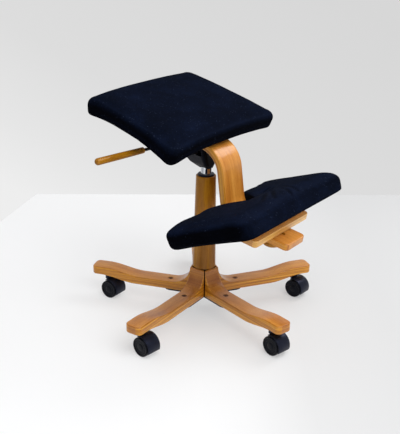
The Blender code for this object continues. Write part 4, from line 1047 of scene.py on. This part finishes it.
def add_knee_pad():
    """Knee cushion with a notch for the strap, creased where it is drawn in."""
    home = knee_frame() @ shift((0, PAD_MIDDLE, PAD_LEVEL)) @ Matrix.Rotation(-PAD_ANGLE, 4, "X")
    block = slab(PAD)
    rear = PAD["depth"] / 2
    # twice as long as the notch, and 2 m wide at first, so that each end is resized by its half width
    notch = cube((0, rear, PAD["thick"] / 2), (2, 2 * (rear - NOTCH_APEX), 3 * PAD["thick"]))
    edit(notch)
    pick(lambda p: p.y > rear)
    bpy.ops.transform.resize(value=(2 * NOTCH_HALF, 1, 1), center_override=(0, 0, 0))
    pick(lambda p: p.y < rear)
    bpy.ops.transform.resize(value=(NOTCH_APEX_HALF, 1, 1), center_override=(0, 0, 0))
    notch = done()
    carve(block, notch)
    carve(block, strap_room(home))
    cushion = fill(block, PAD, pad_hang, CREASES)
    carve(cushion, board_room(PAD_BOARD_HALF, -PAD_BOARD_FRONT, PAD_BOARD_BACK, 0))
    paint_cover_light(cushion, shaded_flank=0.2, front=0.65, creases=CREASES)
    place(cushion, home)
    dress(cushion, "knee_upholstery", "knee_carrier", WOOL, ["knee_pad"], angle=80)


def finish_solids():
    """Gives every CAD node that still shows its own finish."""
    finishes = {"zinc": ZINC, "black_steel": POWDER, "black_nylon": NYLON, "chrome": CHROME, "plywood": PLYWOOD,
                "beech": PLYWOOD, "navy_cloth": WOOL}
    slots = {s["node"]: s["material_slot"] for s in frame["record"]["subparts"]}
    for name, node in frame["nodes"].items():
        clad(node, BROWNED if name.startswith("arm_bolt") else finishes[slots[name]])


# Studio

PHOTO_HEIGHT = 434
CAMERA = {"azimuth": radians(-53.0), "elevation": radians(22.46), "distance": 2025.7 * MM, "focal_px": 785.19,
          "aim_side": -19.33 * MM, "aim_height": 258.96 * MM, "roll": radians(1.09), "shift_px": (-2.46, 1.83)}
RIGHT = Vector((cos(CAMERA["azimuth"]), sin(CAMERA["azimuth"]), 0))
SENSOR = 36                     # mm, as a camera has it
PLINTH_CORNER = Vector((0.299, 0.994, 0))
PLINTH_BACK = Vector((0.862, -1.042, 0))
PLINTH_LEFT = Vector((-0.260, -0.107, 0))
PLINTH_SIZE = 2.6
# Painted falloff of light: the plinth paler to the left, the wall paler to the left and lower down
PLINTH_PAINTED_LIGHT = [(-0.5, "#FCFCFC"), (-0.15, "#F9F9F9"), (0.0, "#F5F5F5"), (0.1, "#EFEFEF"), (0.25, "#E1E1E1"),
                (0.5, "#DADADA")]
WALL_BEHIND = 2.35
WALL_FOOT = -2.5
WALL_HEIGHT = 7.5
WALL_ENDS = (-5, 6)
WALL_PAINTED_LIGHT = [(-1.62, "#EEEEEE"), (-1.14, "#E6E6E6"), (-0.47, "#DDDDDD"), (0.98, "#D7D7D7")]


def add_camera():
    """The photograph's viewpoint, aimed a little beside the column."""
    c = CAMERA
    az, el = c["azimuth"], c["elevation"]
    aim = COLUMN + RIGHT * c["aim_side"] + Vector((0, 0, c["aim_height"]))
    back = Vector((sin(az) * cos(el), -cos(az) * cos(el), sin(el)))
    up = back.cross(RIGHT)
    right = RIGHT * cos(c["roll"]) + up * sin(c["roll"])
    up = back.cross(right)
    data = bpy.data.cameras.new("camera")
    data.sensor_fit = "VERTICAL"
    data.sensor_height = SENSOR
    data.lens = SENSOR * c["focal_px"] / PHOTO_HEIGHT
    data.shift_x = -c["shift_px"][0] / PHOTO_HEIGHT
    data.shift_y = c["shift_px"][1] / PHOTO_HEIGHT
    camera = bpy.data.objects.new("camera", data)
    turn = Matrix((right, up, back)).transposed().to_4x4()
    camera.matrix_world = shift(aim + back * c["distance"]) @ turn
    bpy.context.scene.camera = put(camera)


def lamp(name, size, power, where, aim):
    """A round soft lamp, its place and aim given from the column's foot."""
    where, aim = COLUMN + Vector(where), COLUMN + Vector(aim)
    data = bpy.data.lights.new(name, "AREA")
    data.shape = "DISK"
    data.size = size
    data.energy = power
    light = bpy.data.objects.new(name, data)
    light.location = where
    light.rotation_euler = (aim - where).to_track_quat("-Z", "Y").to_euler()
    put(light)


def studio_paint(name, direction, stops, own):
    """Matt white for the chair's light; the camera and mirrors see a tone along a direction, partly its own glow:
    painted light that falls off across the plinth and wall.
    """
    made, tree, shader = new_material(name)
    feed(tree, shader, Base_Color=linear("#F4F4F4"), Roughness=0.9)
    where = add(tree, "TexCoord", out="Object")
    along = add(tree, "VectorMath", {"operation": "DOT_PRODUCT"}, _0=where, _1=direction, out="Value")
    low, high = stops[0][0], stops[-1][0]
    share = add(tree, "MapRange", Value=along, From_Min=low, From_Max=high)
    colour = add(tree, "ValToRGB", stops=[((x - low) / (high - low), c) for x, c in stops], Fac=share)
    glow = add(tree, "Emission", Color=colour, Strength=1.0)
    lit = add(tree, "BsdfDiffuse", Color=colour)
    seen = add(tree, "MixShader", Fac=own, _1=lit, _2=glow)
    ray = add(tree, "LightPath").node.outputs
    mirrored = add(tree, "Math", {"operation": "ADD"}, _0=ray["Is Glossy Ray"], _1=ray["Is Transmission Ray"])
    straight = add(tree, "Math", {"operation": "ADD", "use_clamp": True}, _0=ray["Is Camera Ray"], _1=mirrored)
    both = add(tree, "MixShader", Fac=straight, _1=shader.outputs[0], _2=seen)
    feed(tree, tree.nodes["Material Output"], Surface=both)
    return made


def add_panel(name, points, material):
    """A flat panel of the studio through four points."""
    clear_hands()
    bpy.ops.mesh.primitive_plane_add(size=1)
    panel = bpy.context.object
    panel.name = name
    for vertex, point in zip(panel.data.vertices, (points[0], points[1], points[3], points[2])):
        vertex.co = point
    panel.data.materials.append(material)


def add_studio():
    """White plinth with its back and left edges, a grey wall behind, two soft lamps and a pale room."""
    corner = COLUMN + PLINTH_CORNER
    back, left = PLINTH_BACK.normalized(), PLINTH_LEFT.normalized()
    far, near = back * PLINTH_SIZE, left * PLINTH_SIZE
    add_panel("plinth", [corner, corner + far, corner + far + near, corner + near],
              studio_paint("white_plinth", RIGHT, PLINTH_PAINTED_LIGHT, own=0.5))
    foot = corner + Vector((-back.y, back.x, 0)) * WALL_BEHIND + Vector((0, 0, WALL_FOOT))
    rise = Vector((0, 0, WALL_HEIGHT))
    start, end = (foot + back * reach for reach in WALL_ENDS)
    add_panel("wall", [start, end, end + rise, start + rise],
              studio_paint("grey_wall", RIGHT * 0.6 + Vector((0, 0, 1)), WALL_PAINTED_LIGHT, own=1.0))
    world = bpy.data.worlds.new("room")
    world.use_nodes = True
    feed(world.node_tree, world.node_tree.nodes["Background"], Color=linear("#F4F6FA"), Strength=0.58)
    bpy.context.scene.world = world
    lamp("key", size=2.0, power=40, where=(-0.45, -1.25, 2.1), aim=(0, 0, 0.3))
    lamp("window", size=1.1, power=13, where=(1.25, -0.55, 1.6), aim=(0, 0, 0.4))
    bpy.context.scene.view_settings.view_transform = "Standard"


finish_solids()
add_arms()
add_column()
add_casters()
add_strap()
add_knee_rest()
add_lever()
add_seat()
add_knee_pad()
add_camera()
add_studio()
